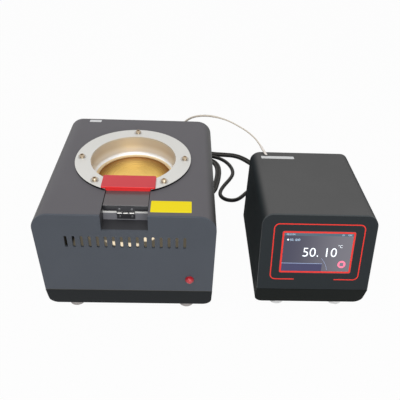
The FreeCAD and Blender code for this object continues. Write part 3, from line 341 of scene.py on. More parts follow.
@dataclass(frozen=True)
class Finish:
    """A surface finish: its colour, how it shines, and the relief and drift that it shows up close.

    relief_scale and drift_scale are counts per metre, relief_depth is in millimetres.
    """

    name: str
    colour: Colour
    roughness: float
    metallic: float = 0.0
    relief: Relief = Relief.GRAIN
    relief_scale: float = 900.0
    relief_depth: float = 0.05
    relief_strength: float = 0.25
    drift: float = 0.06
    drift_scale: float = 14.0
    uneven: float = 0.12
    coat: float = 0.0
    coat_roughness: float = 0.1
    specular: float = 0.5
    anisotropic: float = 0.0
    glow: float = 0.0
    drift_detail: float = 3.0
    grain_detail: float = 4.0
    ring_detail: float = 3.0
    ring_slant: float = 0.6
    brush_stretch: float = 0.03
    strand_turn: Point3 = (0.7, 0.8, 0.4)
    strand_distortion: float = 0.6

    def material(self) -> bpy.types.Material:
        """Returns the finish's material, made on first use."""
        look = "look_" + self.name
        return bpy.data.materials.get(look) or self.build(ShaderSheet(look))

    def build(self, sheet: ShaderSheet) -> bpy.types.Material:
        """Fills in the material's nodes.

        Args:
            sheet: The new material's node tree.

        Returns:
            The material.
        """
        place = sheet.add("ShaderNodeTexCoord").outputs["Object"]
        fine = self.fine_relief(sheet, place)
        colour = self.base_colour(sheet, place)
        sheet.join(colour, sheet.shader.inputs["Base Color"])
        rough = sheet.spread(fine, self.roughness * (1 - self.uneven), self.roughness * (1 + self.uneven))
        sheet.join(rough, sheet.shader.inputs["Roughness"])
        bump = sheet.add("ShaderNodeBump")
        bump.inputs["Strength"].default_value = self.relief_strength
        bump.inputs["Distance"].default_value = self.relief_depth * MM
        sheet.join(fine, bump.inputs["Height"])
        sheet.join(bump.outputs["Normal"], sheet.shader.inputs["Normal"])
        self.constants(sheet)
        if self.glow:
            sheet.join(self.glow_colour(sheet, place, colour), sheet.shader.inputs["Emission Color"])
            sheet.set("Emission Strength", self.glow)
        return sheet.material

    def base_colour(self, sheet: ShaderSheet, place: Socket) -> Socket:
        """Adds the colour with its slow drift and returns it.

        Args:
            sheet: The material's node tree.
            place: Coordinates on the piece, in metres.

        Returns:
            The colour.
        """
        drift = sheet.noise(place, self.drift_scale, self.drift_detail).outputs["Fac"]
        low, high = linear(self.colour, 1 - self.drift), linear(self.colour, 1 + self.drift)
        return sheet.between(drift, low, high)

    def glow_colour(self, sheet: ShaderSheet, place: Socket, colour: Socket) -> Socket:
        """Returns the colour that a lit surface gives off: its own."""
        return colour

    def constants(self, sheet: ShaderSheet) -> None:
        """Sets what is the same all over the surface.

        Args:
            sheet: The material's node tree.
        """
        sheet.set("Metallic", self.metallic)
        sheet.set("Coat Weight", self.coat)
        sheet.set("Coat Roughness", self.coat_roughness)
        sheet.set("Specular IOR Level", self.specular)
        if self.anisotropic:
            sheet.set("Anisotropic", self.anisotropic)
            tangent = sheet.add("ShaderNodeTangent", direction_type="RADIAL", axis="Z")
            sheet.join(tangent.outputs["Tangent"], sheet.shader.inputs["Tangent"])

    def fine_relief(self, sheet: ShaderSheet, place: Socket) -> Socket:
        """Adds the fine relief.

        Args:
            sheet: The material's node tree.
            place: Coordinates on the piece, in metres.

        Returns:
            The relief's height, about 0 to 1.
        """
        if self.relief is Relief.RINGS:
            return self.ring_relief(sheet, place)
        if self.relief is Relief.WOVEN:
            return self.woven_relief(sheet, place)
        if self.relief is Relief.BRUSHED:
            place = sheet.vector_math("MULTIPLY", place, (self.brush_stretch, 1.0, 1.0)).outputs["Vector"]
        return sheet.noise(place, self.relief_scale, self.grain_detail).outputs["Fac"]

    def ring_relief(self, sheet: ShaderSheet, place: Socket) -> Socket:
        """Adds turned lines round the well's axis and returns their height.

        Args:
            sheet: The material's node tree.
            place: Coordinates on the piece, in metres.

        Returns:
            The relief's height, about 0 to 1.
        """
        slanted = from_well_axis(sheet, place, self.ring_slant)
        lines = sheet.add("ShaderNodeTexNoise", noise_dimensions="1D")
        lines.inputs["Scale"].default_value = self.relief_scale
        lines.inputs["Detail"].default_value = self.ring_detail
        sheet.join(sheet.length(slanted), lines.inputs["W"])
        return lines.outputs["Fac"]

    def woven_relief(self, sheet: ShaderSheet, place: Socket) -> Socket:
        """Adds two sets of crossing strands and returns the height of the upper one.

        Args:
            sheet: The material's node tree.
            place: Coordinates on the piece, in metres.

        Returns:
            The relief's height, 0 to 1.
        """
        heights = []
        for slant in (1.0, -1.0):
            turned = sheet.add("ShaderNodeMapping")
            turned.inputs["Rotation"].default_value = tuple(slant * turn for turn in self.strand_turn)
            sheet.join(place, turned.inputs["Vector"])
            strands = sheet.add("ShaderNodeTexWave")
            strands.inputs["Scale"].default_value = self.relief_scale
            strands.inputs["Distortion"].default_value = self.strand_distortion
            sheet.join(turned.outputs["Vector"], strands.inputs["Vector"])
            heights.append(strands.outputs["Fac"])
        return sheet.math("MAXIMUM", heights[0], heights[1])


@dataclass(frozen=True)
class ScreenFinish(Finish):
    """The lit background of the screen, which runs from one colour at the left to another at the right."""

    far_colour: Colour = (118, 116, 126)
    unlit_colour: Colour = (12, 12, 16)

    def build(self, sheet: ShaderSheet) -> bpy.types.Material:
        """Fills in the material's nodes.

        Args:
            sheet: The new material's node tree.

        Returns:
            The material.
        """
        low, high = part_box("touch_glass")
        place = sheet.add("ShaderNodeTexCoord").outputs["Object"]
        across = sheet.ramp(sheet.component(place, "X"), low.x, high.x)
        colour = sheet.between(across, linear(self.colour), linear(self.far_colour))
        sheet.join(colour, sheet.shader.inputs["Emission Color"])
        sheet.set("Emission Strength", self.glow)
        sheet.set("Base Color", linear(self.unlit_colour))
        smears = sheet.noise(place, self.drift_scale, self.drift_detail)
        rough = sheet.spread(smears.outputs["Fac"], self.roughness, self.roughness * 2)
        sheet.join(rough, sheet.shader.inputs["Roughness"])
        self.constants(sheet)
        return sheet.material


@dataclass(frozen=True)
class RingFinish(Finish):
    """The ring's metal, with painted shade and a painted dark reflection on the side that faces away from
    the well.
    """

    side_shade_colour: Colour = (22, 22, 24)
    side_shade_onset: Point2 = (0.02, 0.06)

    def base_colour(self, sheet: ShaderSheet, place: Socket) -> Socket:
        """Adds the metal's colour with the painted shade on its outer side and returns it.

        Args:
            sheet: The material's node tree.
            place: Coordinates on the piece, in metres.

        Returns:
            The colour.
        """
        bright = super().base_colour(sheet, place)
        normal = sheet.add("ShaderNodeTexCoord").outputs["Normal"]
        outward = sheet.vector_math("DOT_PRODUCT", normal, from_well_axis(sheet, place))
        # Painted shade and dark reflection: the outer side of the ring turns near black.
        side = sheet.ramp(outward.outputs["Value"], *self.side_shade_onset)
        return sheet.tint(side, bright, linear(self.side_shade_colour))


@dataclass(frozen=True)
class FacedLightFinish(Finish):
    """A finish with painted light and shade: a second colour on the faces that look along an axis, either
    way, for how the light falls on them.
    """

    faced_colour: Colour = (30, 30, 30)
    axis: Point3 = (1.0, 0.0, 0.0)
    onset: Point2 = (0.3, 0.92)

    def base_colour(self, sheet: ShaderSheet, place: Socket) -> Socket:
        """Adds the colour with the painted light and shade on the faces along the axis, and returns the
        result.

        Args:
            sheet: The material's node tree.
            place: Coordinates on the piece, in metres.

        Returns:
            The colour.
        """
        plain = super().base_colour(sheet, place)
        # Painted light and shade: faces that look along the axis take the second colour.
        faced = sheet.ramp(sheet.math("ABSOLUTE", sheet.facing(self.axis)), *self.onset)
        return sheet.tint(faced, plain, linear(self.faced_colour))


@dataclass(frozen=True)
class PlateFinish(Finish):
    """The hot plate's metal, turned brown towards its rim by painted shade and a painted dark reflection
    under the lip.

    rim holds the distances from the well's axis where the painted brown starts and where it is full.
    """

    rim_shade_colour: Colour = (150, 104, 48)
    rim: Point2 = (32.0, 60.0)

    def base_colour(self, sheet: ShaderSheet, place: Socket) -> Socket:
        """Adds the metal's colour with the painted brown shade towards its rim and returns it.

        Args:
            sheet: The material's node tree.
            place: Coordinates on the piece, in metres.

        Returns:
            The colour.
        """
        bright = super().base_colour(sheet, place)
        distance = sheet.length(from_well_axis(sheet, place))
        # Painted shade and dark reflection: the plate browns towards its rim under the lip.
        rim_shade = sheet.ramp(distance, self.rim[0] * MM, self.rim[1] * MM)
        return sheet.tint(rim_shade, bright, linear(self.rim_shade_colour))


@dataclass(frozen=True)
class LinerFinish(Finish):
    """The spun liner's metal, warm on its wall, with a painted white highlight where the wall rolls in
    above the hot plate and a painted golden reflection of the plate at its lip.

    foot and lip hold the heights above the hot plate where each painted colour starts and where it is full.
    """

    foot_highlight_colour: Colour = (240, 242, 243)
    foot: Point2 = (23.0, 11.0)
    lip_reflection_colour: Colour = (222, 198, 154)
    lip: Point2 = (2.9, 2.0)

    def base_colour(self, sheet: ShaderSheet, place: Socket) -> Socket:
        """Adds the wall's colour with its painted white highlight at the foot and painted golden reflection
        at the lip, and returns it.

        Args:
            sheet: The material's node tree.
            place: Coordinates on the piece, in metres.

        Returns:
            The colour.
        """
        colour = super().base_colour(sheet, place)
        height = sheet.component(place, "Z")
        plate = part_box("hot_plate")[1].z
        # Painted highlight at the foot and painted reflection of the golden plate at the lip.
        for (above, below), zone in ((self.foot, self.foot_highlight_colour), (self.lip, self.lip_reflection_colour)):
            low = sheet.ramp(height, plate + above * MM, plate + below * MM)
            colour = sheet.tint(low, colour, linear(zone))
        return colour


@dataclass(frozen=True)
class HingeFinish(Finish):
    """Blackened hinge leaves, with a painted highlight along the top of each knuckle round the pin.

    barrel and the knuckle-end pair hold the distances where the painted highlight starts and where it is
    full, from the pin's axis and from a knuckle's ends.
    """

    glint_colour: Colour = (232, 230, 226)
    barrel: Point2 = (3.4, 3.0)
    glint_side: Point3 = (0.0, -0.5, 0.866)
    glint_onset: Point2 = (0.86, 0.97)
    knuckles: int = 3
    glint_end_gap: Point2 = (0.8, 1.5)

    def base_colour(self, sheet: ShaderSheet, place: Socket) -> Socket:
        """Adds the black with its painted highlight streak and returns it.

        Args:
            sheet: The material's node tree.
            place: Coordinates on the piece, in metres.

        Returns:
            The colour.
        """
        black = super().base_colour(sheet, place)
        distance = sheet.length(sheet.from_axis(place, box_middle("hinge_pin"), (0.0, 1.0, 1.0)))
        near = sheet.ramp(distance, self.barrel[0] * MM, self.barrel[1] * MM)
        streak = sheet.ramp(sheet.facing(self.glint_side), *self.glint_onset)
        low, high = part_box("hinge_leaf_fixed")
        along = sheet.math("SUBTRACT", sheet.component(place, "X"), low.x)
        from_end = sheet.math("PINGPONG", along, (high.x - low.x) / (2 * self.knuckles))
        middle = sheet.ramp(from_end, self.glint_end_gap[0] * MM, self.glint_end_gap[1] * MM)
        # Painted highlight: a bright streak along the top of each knuckle, fading near the knuckle's ends.
        glint = sheet.math("MULTIPLY", sheet.math("MULTIPLY", near, streak), middle)
        return sheet.tint(glint, black, linear(self.glint_colour))


@dataclass(frozen=True)
class ShroudFinish(Finish):
    """The bright shroud behind the vent slots, with the stray light that it catches inside the housing
    painted on as its own glow.

    A patch of painted light has its middle, from the well's axis and the bench, and its half width and
    height.
    """

    dim_colour: Colour = STRAY_LIGHT
    patches: tuple[tuple[Point2, Point2], ...] = (
        ((-10.5, 107.0), (29.0, 5.0)), ((28.5, 117.0), (11.0, 5.5)),
    )
    patch_edge: Point2 = (1.2, 0.7)
    dim_detail: float = 1.0

    def glow_colour(self, sheet: ShaderSheet, place: Socket, colour: Socket) -> Socket:
        """Returns the dim metal's painted glow with its patches of painted light.

        Args:
            sheet: The material's node tree.
            place: Coordinates on the piece, in metres.
            colour: The surface's own colour; not used.

        Returns:
            The colour that it gives off.
        """
        axis = box_middle("hot_plate")
        drift = sheet.noise(place, self.drift_scale, self.dim_detail).outputs["Fac"]
        shade = sheet.between(drift, linear(self.dim_colour, 1 - self.drift), linear(self.dim_colour))
        for (x, height), half in self.patches:
            middle = Vector((axis.x + x * MM, axis.y, height * MM))
            offset = sheet.from_axis(place, middle, (1 / (half[0] * MM), 0.0, 1 / (half[1] * MM)))
            lit = sheet.ramp(sheet.length(offset), *self.patch_edge)
            shade = sheet.tint(lit, shade, linear(self.colour))
        return shade


@dataclass(frozen=True)
class TrayFinish(Finish):
    """The base tray's paint, with the stray light on its floor inside the housing painted on as a glow."""

    dim_colour: Colour = STRAY_LIGHT
    onset: Point2 = (0.8, 0.98)

    def glow_colour(self, sheet: ShaderSheet, place: Socket, colour: Socket) -> Socket:
        """Returns the floor's painted stray light, and black on faces that look any other way."""
        floor = sheet.ramp(sheet.facing(tuple(UPWARD)), *self.onset)
        return sheet.between(floor, linear((0, 0, 0)), linear(self.dim_colour))


def lit_finish(name: str, colour: Colour, glow: float = 0.8) -> Finish:
    """Returns the finish of a lit shape on the screen."""
    return Finish(name, colour, 0.2, relief_scale=400, relief_depth=0.0, glow=glow)


POWDER_COAT: dict[str, float] = {"relief_scale": 2600, "relief_depth": 0.04}
# Painted shade: the cover's sides, which look to the left and right, are darker than its top.
HEATER_PAINT = FacedLightFinish(
    "heater_paint", (100, 98, 102), 0.5, **POWDER_COAT, specular=0.22,
    faced_colour=(56, 56, 55), onset=(0.4, 1.0),
)
HEATER_FRONT = Finish(
    "heater_front_paint", (82, 87, 95), 0.5, **POWDER_COAT, specular=0.22,
)
# Painted light: the tray's floor inside the housing glows with stray light.
HEATER_BAND = TrayFinish(
    "heater_band_paint", (19, 23, 26), 0.55, **POWDER_COAT, specular=0.1, glow=0.9,
)
CONTROLLER_BAND = Finish(
    "controller_band_paint", (26, 29, 28), 0.7, **POWDER_COAT, specular=0.06,
)
# Painted light and shade: the cover's top is lighter and its sides, which look to the left and right,
# darker.
CONTROLLER_PAINT = FacedLightFinish(
    "controller_paint", (100, 100, 100), 0.85, **POWDER_COAT, specular=0.03,
    faced_colour=(50, 55, 57),
)
# Painted highlight: the plate's rounded rims and edges are lighter than its face, which takes the second
# colour.
CONTROLLER_FRONT = FacedLightFinish(
    "controller_front_paint", (78, 82, 84), 0.5, relief_scale=2600, relief_depth=0.03, specular=0.12,
    faced_colour=(41, 46, 49), axis=(0.0, -0.956, 0.292), onset=(0.75, 0.97),
)
# Painted shade: the flap's faces that look forward or back are darker.
GATE_PAINT = FacedLightFinish(
    "gate_paint", (86, 79, 81), 0.28, relief_scale=2200, relief_depth=0.02, coat=0.3,
    faced_colour=(40, 40, 45), axis=(0.0, 1.0, 0.0),
)
# Painted light and shade: the tray's upright faces that look forward or back are lighter, its floor darker.
NOTCH_PAINT = FacedLightFinish(
    "notch_paint", (60, 60, 63), 0.45, relief_scale=2400, relief_depth=0.04, specular=0.2,
    faced_colour=(134, 134, 140), axis=(0.0, 1.0, 0.0),
)
HINGE_BLACK = HingeFinish("hinge_black", (70, 70, 74), 0.36, 0.5, relief_scale=1500, relief_depth=0.02)
RING_METAL = RingFinish(
    "ring_metal", (212, 211, 207), 0.5, 0.75, Relief.GRAIN, 1800, 0.03, 0.3, drift=0.03,
)
BRIGHT_SHEET = Finish(
    "bright_sheet", (212, 205, 192), 0.3, 1.0, Relief.BRUSHED, 1200, 0.03, 0.3, drift=0.05,
)
# Painted light: the shroud glows with the stray light that it catches inside the housing.
SHROUD_METAL_AND_GLOW = ShroudFinish(
    "shroud_metal_and_glow", (255, 236, 204), 0.3, 1.0, Relief.BRUSHED, 1200, 0.03, 0.3, drift=0.05, glow=0.95,
)
SEAT_METAL = Finish("seat_metal", (244, 243, 240), 0.45, 0.0, Relief.BRUSHED, 1200, 0.02, 0.2, drift=0.03)
LINER_METAL = LinerFinish(
    "liner_metal", (212, 206, 196), 0.42, 0.45, Relief.RINGS, 900, 0.02, 0.15, drift=0.04, anisotropic=0.3,
)
PLATE_METAL = PlateFinish(
    "plate_metal", (232, 194, 108), 0.3, 1.0, Relief.RINGS, 700, 0.04, 0.3, drift=0.06, anisotropic=0.75,
)
STEEL = Finish("steel", (190, 188, 184), 0.25, 1.0, relief_scale=1400, relief_depth=0.02)
# Painted light: the carrier plate and its standoffs glow with the stray light inside the housing.
CARRIER_STRAY_GLOW = Finish("carrier_stray_glow", STRAY_LIGHT, 0.4, 0.5, relief_scale=1400, glow=0.9)
SCREW_BRONZE = Finish("screw_bronze", (182, 166, 144), 0.1, 1.0, relief_scale=1400, relief_depth=0.01)
HINGE_SCREW = Finish("hinge_screw", (124, 124, 127), 0.36, 0.8, relief_scale=1500, relief_depth=0.02)
NICKEL = Finish("nickel", (206, 204, 200), 0.16, 1.0, relief_scale=900, relief_depth=0.02)
DARK_STEEL = Finish("dark_steel", (62, 62, 64), 0.34, 1.0, relief_scale=1500)
BRASS_PARTS = Finish("brass_parts", (200, 168, 96), 0.28, 1.0, relief_scale=1100)
# Painted light: the handle's faces that look forward or back are a brighter red.
HANDLE_RED = FacedLightFinish(
    "handle_red", (208, 44, 54), 0.4, relief_scale=1700, relief_depth=0.03, coat=0.15,
    faced_colour=(255, 46, 48), axis=(0.0, 1.0, 0.0),
)
LAMP_RED = Finish(
    "lamp_red", (188, 30, 44), 0.14, relief_scale=420, relief_depth=0.3, relief_strength=0.6, coat=0.3,
    drift=0.3, drift_scale=420.0, glow=0.1,
)
LAMP_RIM = Finish("lamp_rim", (172, 20, 36), 0.3, relief_scale=900, relief_depth=0.02, coat=0.2)
FEET_RUBBER = Finish("feet_rubber", (186, 180, 178), 0.72, relief_scale=1300)
PALE_RUBBER = Finish("pale_rubber", (246, 246, 246), 0.5, relief_scale=1300)
BLACK_PLASTIC = Finish("black_plastic", (32, 32, 34), 0.45, relief_scale=2200)
ROCKER_PLASTIC = Finish("rocker_plastic", (24, 24, 26), 0.25, relief_scale=1600, coat=0.2)
BOARD_GREEN = Finish("board_green", (22, 74, 44), 0.35, relief_scale=700)
RELAY_PLASTIC = Finish("relay_plastic", (210, 208, 200), 0.45, relief_scale=1600)
FIBRE = Finish("fibre", (226, 220, 204), 0.92, relief_scale=420, relief_depth=0.4, relief_strength=0.6)
MICA = Finish("mica", (168, 140, 96), 0.4, relief=Relief.BRUSHED, relief_scale=500)
# Painted sheen: the leads' faces that look up or down are lighter, their sides dark.
LEAD_BLACK = FacedLightFinish(
    "lead_black", (15, 15, 16), 0.4, relief_scale=600, specular=0.14, uneven=0.25,
    faced_colour=(72, 70, 66), axis=(0.0, 0.0, 1.0), onset=(0.78, 1.0),
)
SENSOR_BRAID = Finish(
    "sensor_braid", (222, 212, 197), 0.5, relief=Relief.WOVEN, relief_scale=420, relief_depth=0.08,
    relief_strength=0.3,
)
SLEEVE_PALE = Finish("sleeve_pale", (240, 232, 224), 0.5, relief_scale=1500)
YELLOW_STICKER = Finish(
    "yellow_sticker", (255, 230, 26), 0.42, relief_scale=1500, relief_depth=0.02, drift=0.03, specular=0.2,
)
WHITE_STICKER = Finish(
    "white_sticker", (228, 229, 230), 0.45, relief_scale=1500, relief_depth=0.02, drift=0.03, specular=0.2,
)
RED_PRINT = Finish(
    "red_print", (255, 62, 52), 0.4, relief_scale=1800, relief_depth=0.01, drift=0.03, specular=0.2,
)
WHITE_MARK = Finish("white_mark", (232, 232, 230), 0.4, relief_scale=1800, relief_depth=0.01)
SCREEN_BACK = ScreenFinish(
    "screen_glass", (54, 54, 80), 0.1, glow=0.9, coat=0.3, coat_roughness=0.05, drift_scale=30,
)
SCREEN_DARK = lit_finish("screen_dark", (46, 46, 76))
SCREEN_BAR = lit_finish("screen_bar", (62, 80, 92))
SCREEN_TEXT = lit_finish("screen_text", (236, 244, 255), 0.9)
SCREEN_PALE = lit_finish("screen_pale", (176, 202, 226))
SCREEN_LINE = lit_finish("screen_line", (142, 156, 190))
SCREEN_HOLE = lit_finish("screen_hole", (100, 96, 108))
SCREEN_PINK = lit_finish("screen_pink", (240, 112, 140))

NODE_FINISHES: dict[Finish, tuple[str, ...]] = {
    HEATER_PAINT: ("heater_cover", "heater_back_plate"),
    HEATER_FRONT: ("heater_front_plate",),
    HEATER_BAND: ("heater_base_tray",),
    CONTROLLER_BAND: ("controller_base_tray",),
    CONTROLLER_PAINT: ("controller_cover", "controller_back_plate"),
    CONTROLLER_FRONT: ("controller_front_plate",),
    GATE_PAINT: ("gate_flap",),
    NOTCH_PAINT: ("notch_tray",),
    HINGE_BLACK: ("hinge_leaf_fixed", "hinge_leaf_gate"),
    RING_METAL: ("ring_flange",),
    BRIGHT_SHEET: ("power_supply", "heat_sink"),
    SHROUD_METAL_AND_GLOW: ("heat_shroud",),
    SEAT_METAL: ("gate_seat",),
    LINER_METAL: ("well_liner",),
    PLATE_METAL: ("hot_plate",),
    STEEL: (
        "ring_washers", "ring_nuts", "hinge_pin", "handle_screws", "clamp_plate", "clamp_stud",
        "sensor_probe", "foot_screws", "display_module",
    ),
    CARRIER_STRAY_GLOW: ("carrier_plate", "carrier_standoffs"),
    SCREW_BRONZE: ("ring_screws",),
    NICKEL: ("heater_sockets", "controller_sockets", "inlet_pins"),
    DARK_STEEL: ("panel_screws",),
    HINGE_SCREW: ("hinge_screws_fixed", "hinge_screws_gate"),
    BRASS_PARTS: ("board_standoffs",),
    HANDLE_RED: ("gate_handle",),
    LAMP_RED: ("lamp_lens",),
    LAMP_RIM: ("lamp_bezel",),
    FEET_RUBBER: ("heater_feet",),
    PALE_RUBBER: ("controller_feet",),
    BLACK_PLASTIC: ("sensor_gland", "sensor_jack", "mains_inlet", "switch_frame", "thermostat"),
    ROCKER_PLASTIC: ("switch_rocker",),
    BOARD_GREEN: ("main_board",),
    RELAY_PLASTIC: ("solid_state_relay",),
    FIBRE: ("insulation",),
    MICA: ("heating_element",),
    SLEEVE_PALE: ("sensor_sleeve",),
    SCREEN_BACK: ("touch_glass",),
}


def dress_nodes() -> None:
    """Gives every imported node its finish."""
    for finish, names in NODE_FINISHES.items():
        for name in names:
            slots = frame["nodes"][name].material_slots
            for slot in slots:
                slot.material = finish.material()
            LOG.info("node %s has finish %s", name, finish.name)


def add_piece(
    name: str, mesh: bpy.types.Mesh | bpy.types.Curve, finish: Finish, body: Body,
) -> bpy.types.Object:
    """Adds a mesh to the scene as a piece.

    Args:
        name: The piece's name.
        mesh: Its mesh, in the row frame.
        finish: What it is finished with.
        body: The body it rides on.

    Returns:
        The new object.
    """
    piece = bpy.data.objects.new(name, mesh)
    bpy.context.scene.collection.objects.link(piece)
    mesh.materials.clear()
    mesh.materials.append(finish.material())
    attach(piece, body.value)
    LOG.info("piece %s rides on %s", name, body.value)
    return piece


def mesh_of(name: str, shape: bmesh.types.BMesh, smooth_angle: float = 0.6) -> bpy.types.Mesh:
    """Turns a bmesh into a mesh with smooth shading up to an angle.

    Args:
        name: The mesh's name.
        shape: The bmesh, which is freed.
        smooth_angle: Largest angle between faces that shades smooth, in radians.

    Returns:
        The mesh.
    """
    bmesh.ops.recalc_face_normals(shape, faces=shape.faces)
    mesh = bpy.data.meshes.new(name)
    shape.to_mesh(mesh)
    shape.free()
    mesh.shade_smooth()
    mesh.set_sharp_from_angle(angle=smooth_angle)
    return mesh


def mesh_from_curve(name: str, curve: bpy.types.Curve) -> bpy.types.Mesh:
    """Turns a curve or a text into a mesh.

    Args:
        name: The mesh's name.
        curve: The curve, which is removed.

    Returns:
        The mesh.
    """
    holder = bpy.data.objects.new(name + "_curve", curve)
    bpy.context.scene.collection.objects.link(holder)
    graph = bpy.context.evaluated_depsgraph_get()
    mesh = bpy.data.meshes.new_from_object(holder.evaluated_get(graph))
    bpy.data.objects.remove(holder)
    bpy.data.curves.remove(curve)
    mesh.name = name
    return mesh


def rounded_outline(x_range: Point2, y_range: Point2, radius: float, steps: int = 8) -> list[Point2]:
    """Points of a rectangle with round corners, counter-clockwise from its lower right corner.

    Args:
        x_range: Lowest and highest x.
        y_range: Lowest and highest y.
        radius: Corner radius.
        steps: Segments in each corner.

    Returns:
        The outline's points.
    """
    centres = (
        (x_range[1] - radius, y_range[0] + radius, -90),
        (x_range[1] - radius, y_range[1] - radius, 0),
        (x_range[0] + radius, y_range[1] - radius, 90),
        (x_range[0] + radius, y_range[0] + radius, 180),
    )
    points = []
    for x, y, start in centres:
        for step in range(steps + 1):
            angle = math.radians(start + 90 * step / steps)
            points.append((x + radius * math.cos(angle), y + radius * math.sin(angle)))
    return points


def circle_outline(x: float, y: float, radius: float, steps: int = 40) -> list[Point2]:
    """Returns points on a circle."""
    angles = [2 * math.pi * step / steps for step in range(steps)]
    return [(x + radius * math.cos(angle), y + radius * math.sin(angle)) for angle in angles]


def join_rings(
    shape: bmesh.types.BMesh, rings: Sequence[Sequence[bmesh.types.BMVert]], closed: bool = False,
) -> None:
    """Joins rings of equal count into a tube, with flat ends unless it closes on itself.

    Args:
        shape: The bmesh that holds the rings.
        rings: The rings, in order along the tube.
        closed: Whether the last ring joins the first.
    """
    count = len(rings[0])
    following = [*rings[1:], rings[0]] if closed else rings[1:]
    for here, there in zip(rings, following):
        for step in range(count):
            after = (step + 1) % count
            shape.faces.new((here[step], here[after], there[after], there[step]))
    if not closed:
        shape.faces.new(rings[0])
        shape.faces.new(rings[-1])


@dataclass(frozen=True)
class Plane:
    """A flat face that thin pieces lie on: x along it, y up it and z out of it, in millimetres.

    Its origin is a point of the row frame, in metres.
    """

    origin: Vector
    along: Vector
    up: Vector

    def at(self, x: float, y: float, z: float) -> Vector:
        """Returns a point of the plane's own frame in the row frame, in metres."""
        out = self.along.cross(self.up)
        return self.origin + (self.along * x + self.up * y + out * z) * MM

    def patch(self, name: str, outline: Sequence[Point2], z_range: Point2) -> bpy.types.Mesh:
        """Makes a thin plate.

        Args:
            name: The mesh's name.
            outline: The plate's points.
            z_range: Its underside and top above the plane.

        Returns:
            The mesh.
        """
        shape = bmesh.new()
        rings = [[shape.verts.new(self.at(x, y, z)) for x, y in outline] for z in z_range]
        join_rings(shape, rings)
        return mesh_of(name, shape)

    def ribbon(
        self, name: str, line: Sequence[Point2], width: float, z_range: Point2, closed: bool,
    ) -> bpy.types.Mesh:
        """Makes a strip of even width along a line.

        Args:
            name: The mesh's name.
            line: The strip's middle line.
            width: Its width.
            z_range: Its underside and top above the plane.
            closed: Whether the line's end joins its start.

        Returns:
            The mesh.
        """
        count = len(line)
        shape = bmesh.new()
        sections = []
        for index, (x, y) in enumerate(line):
            before = line[index - 1] if closed or index else line[0]
            after = line[(index + 1) % count] if closed or index < count - 1 else line[-1]
            run = Vector((after[0] - before[0], after[1] - before[1])).normalized() * (width / 2)
            left, right = (x - run.y, y + run.x), (x + run.y, y - run.x)
            corners = ((*left, z_range[0]), (*right, z_range[0]), (*right, z_range[1]), (*left, z_range[1]))
            sections.append([shape.verts.new(self.at(*corner)) for corner in corners])
        join_rings(shape, sections, closed)
        return mesh_of(name, shape)

    def lettering(
        self, name: str, text: str, height: float, start: Point2, z_range: Point2,
    ) -> bpy.types.Mesh:
        """Makes numbers or letters that lie on the plane.

        Args:
            name: The mesh's name.
            text: What it reads.
            height: Height of its digits.
            start: Lower left corner of the first digit.
            z_range: Its underside and top above the plane.

        Returns:
            The mesh.
        """
        digit_share = 0.72
        thinning = 0.012
        curve_steps = 4
        letters = bpy.data.curves.new(name, "FONT")
        letters.body = text
        letters.size = height / digit_share
        letters.resolution_u = curve_steps
        letters.offset = -thinning * height
        letters.extrude = (z_range[1] - z_range[0]) / 2
        mesh = mesh_from_curve(name, letters)
        middle = (z_range[0] + z_range[1]) / 2
        for vertex in mesh.vertices:
            local = vertex.co
            vertex.co = self.at(start[0] + local.x, start[1] + local.y, middle + local.z)
        return mesh


@dataclass
class HeaterTop:
    """Plain stickers on the heater's cover."""

    thickness: float = 0.14
    corner: float = 1.2
    yellow_x: Point2 = (35.9, 93.8)
    yellow_y: Point2 = (10.0, 36.0)
    white_x: Point2 = (-92.0, -71.0)
    white_y: Point2 = (268.3, 276.0)

    def plane(self) -> Plane:
        """Returns the cover's top, measured from the middle of the front plate.

        Returns:
            The plane.
        """
        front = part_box("heater_front_plate")[0]
        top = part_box("heater_cover")[1].z
        middle = box_middle("heater_front_plate")
        return Plane(Vector((middle.x, front.y, top)), ACROSS, BACKWARD)

    def build(self) -> None:
        """Adds the stickers."""
        plane = self.plane()
        for name, x_range, y_range, finish in (
            ("yellow_sticker", self.yellow_x, self.yellow_y, YELLOW_STICKER),
            ("rear_sticker", self.white_x, self.white_y, WHITE_STICKER),
        ):
            outline = rounded_outline(x_range, y_range, self.corner)
            mesh = plane.patch(name, outline, (0.0, self.thickness))
            add_piece(name, mesh, finish, Body.BASE)


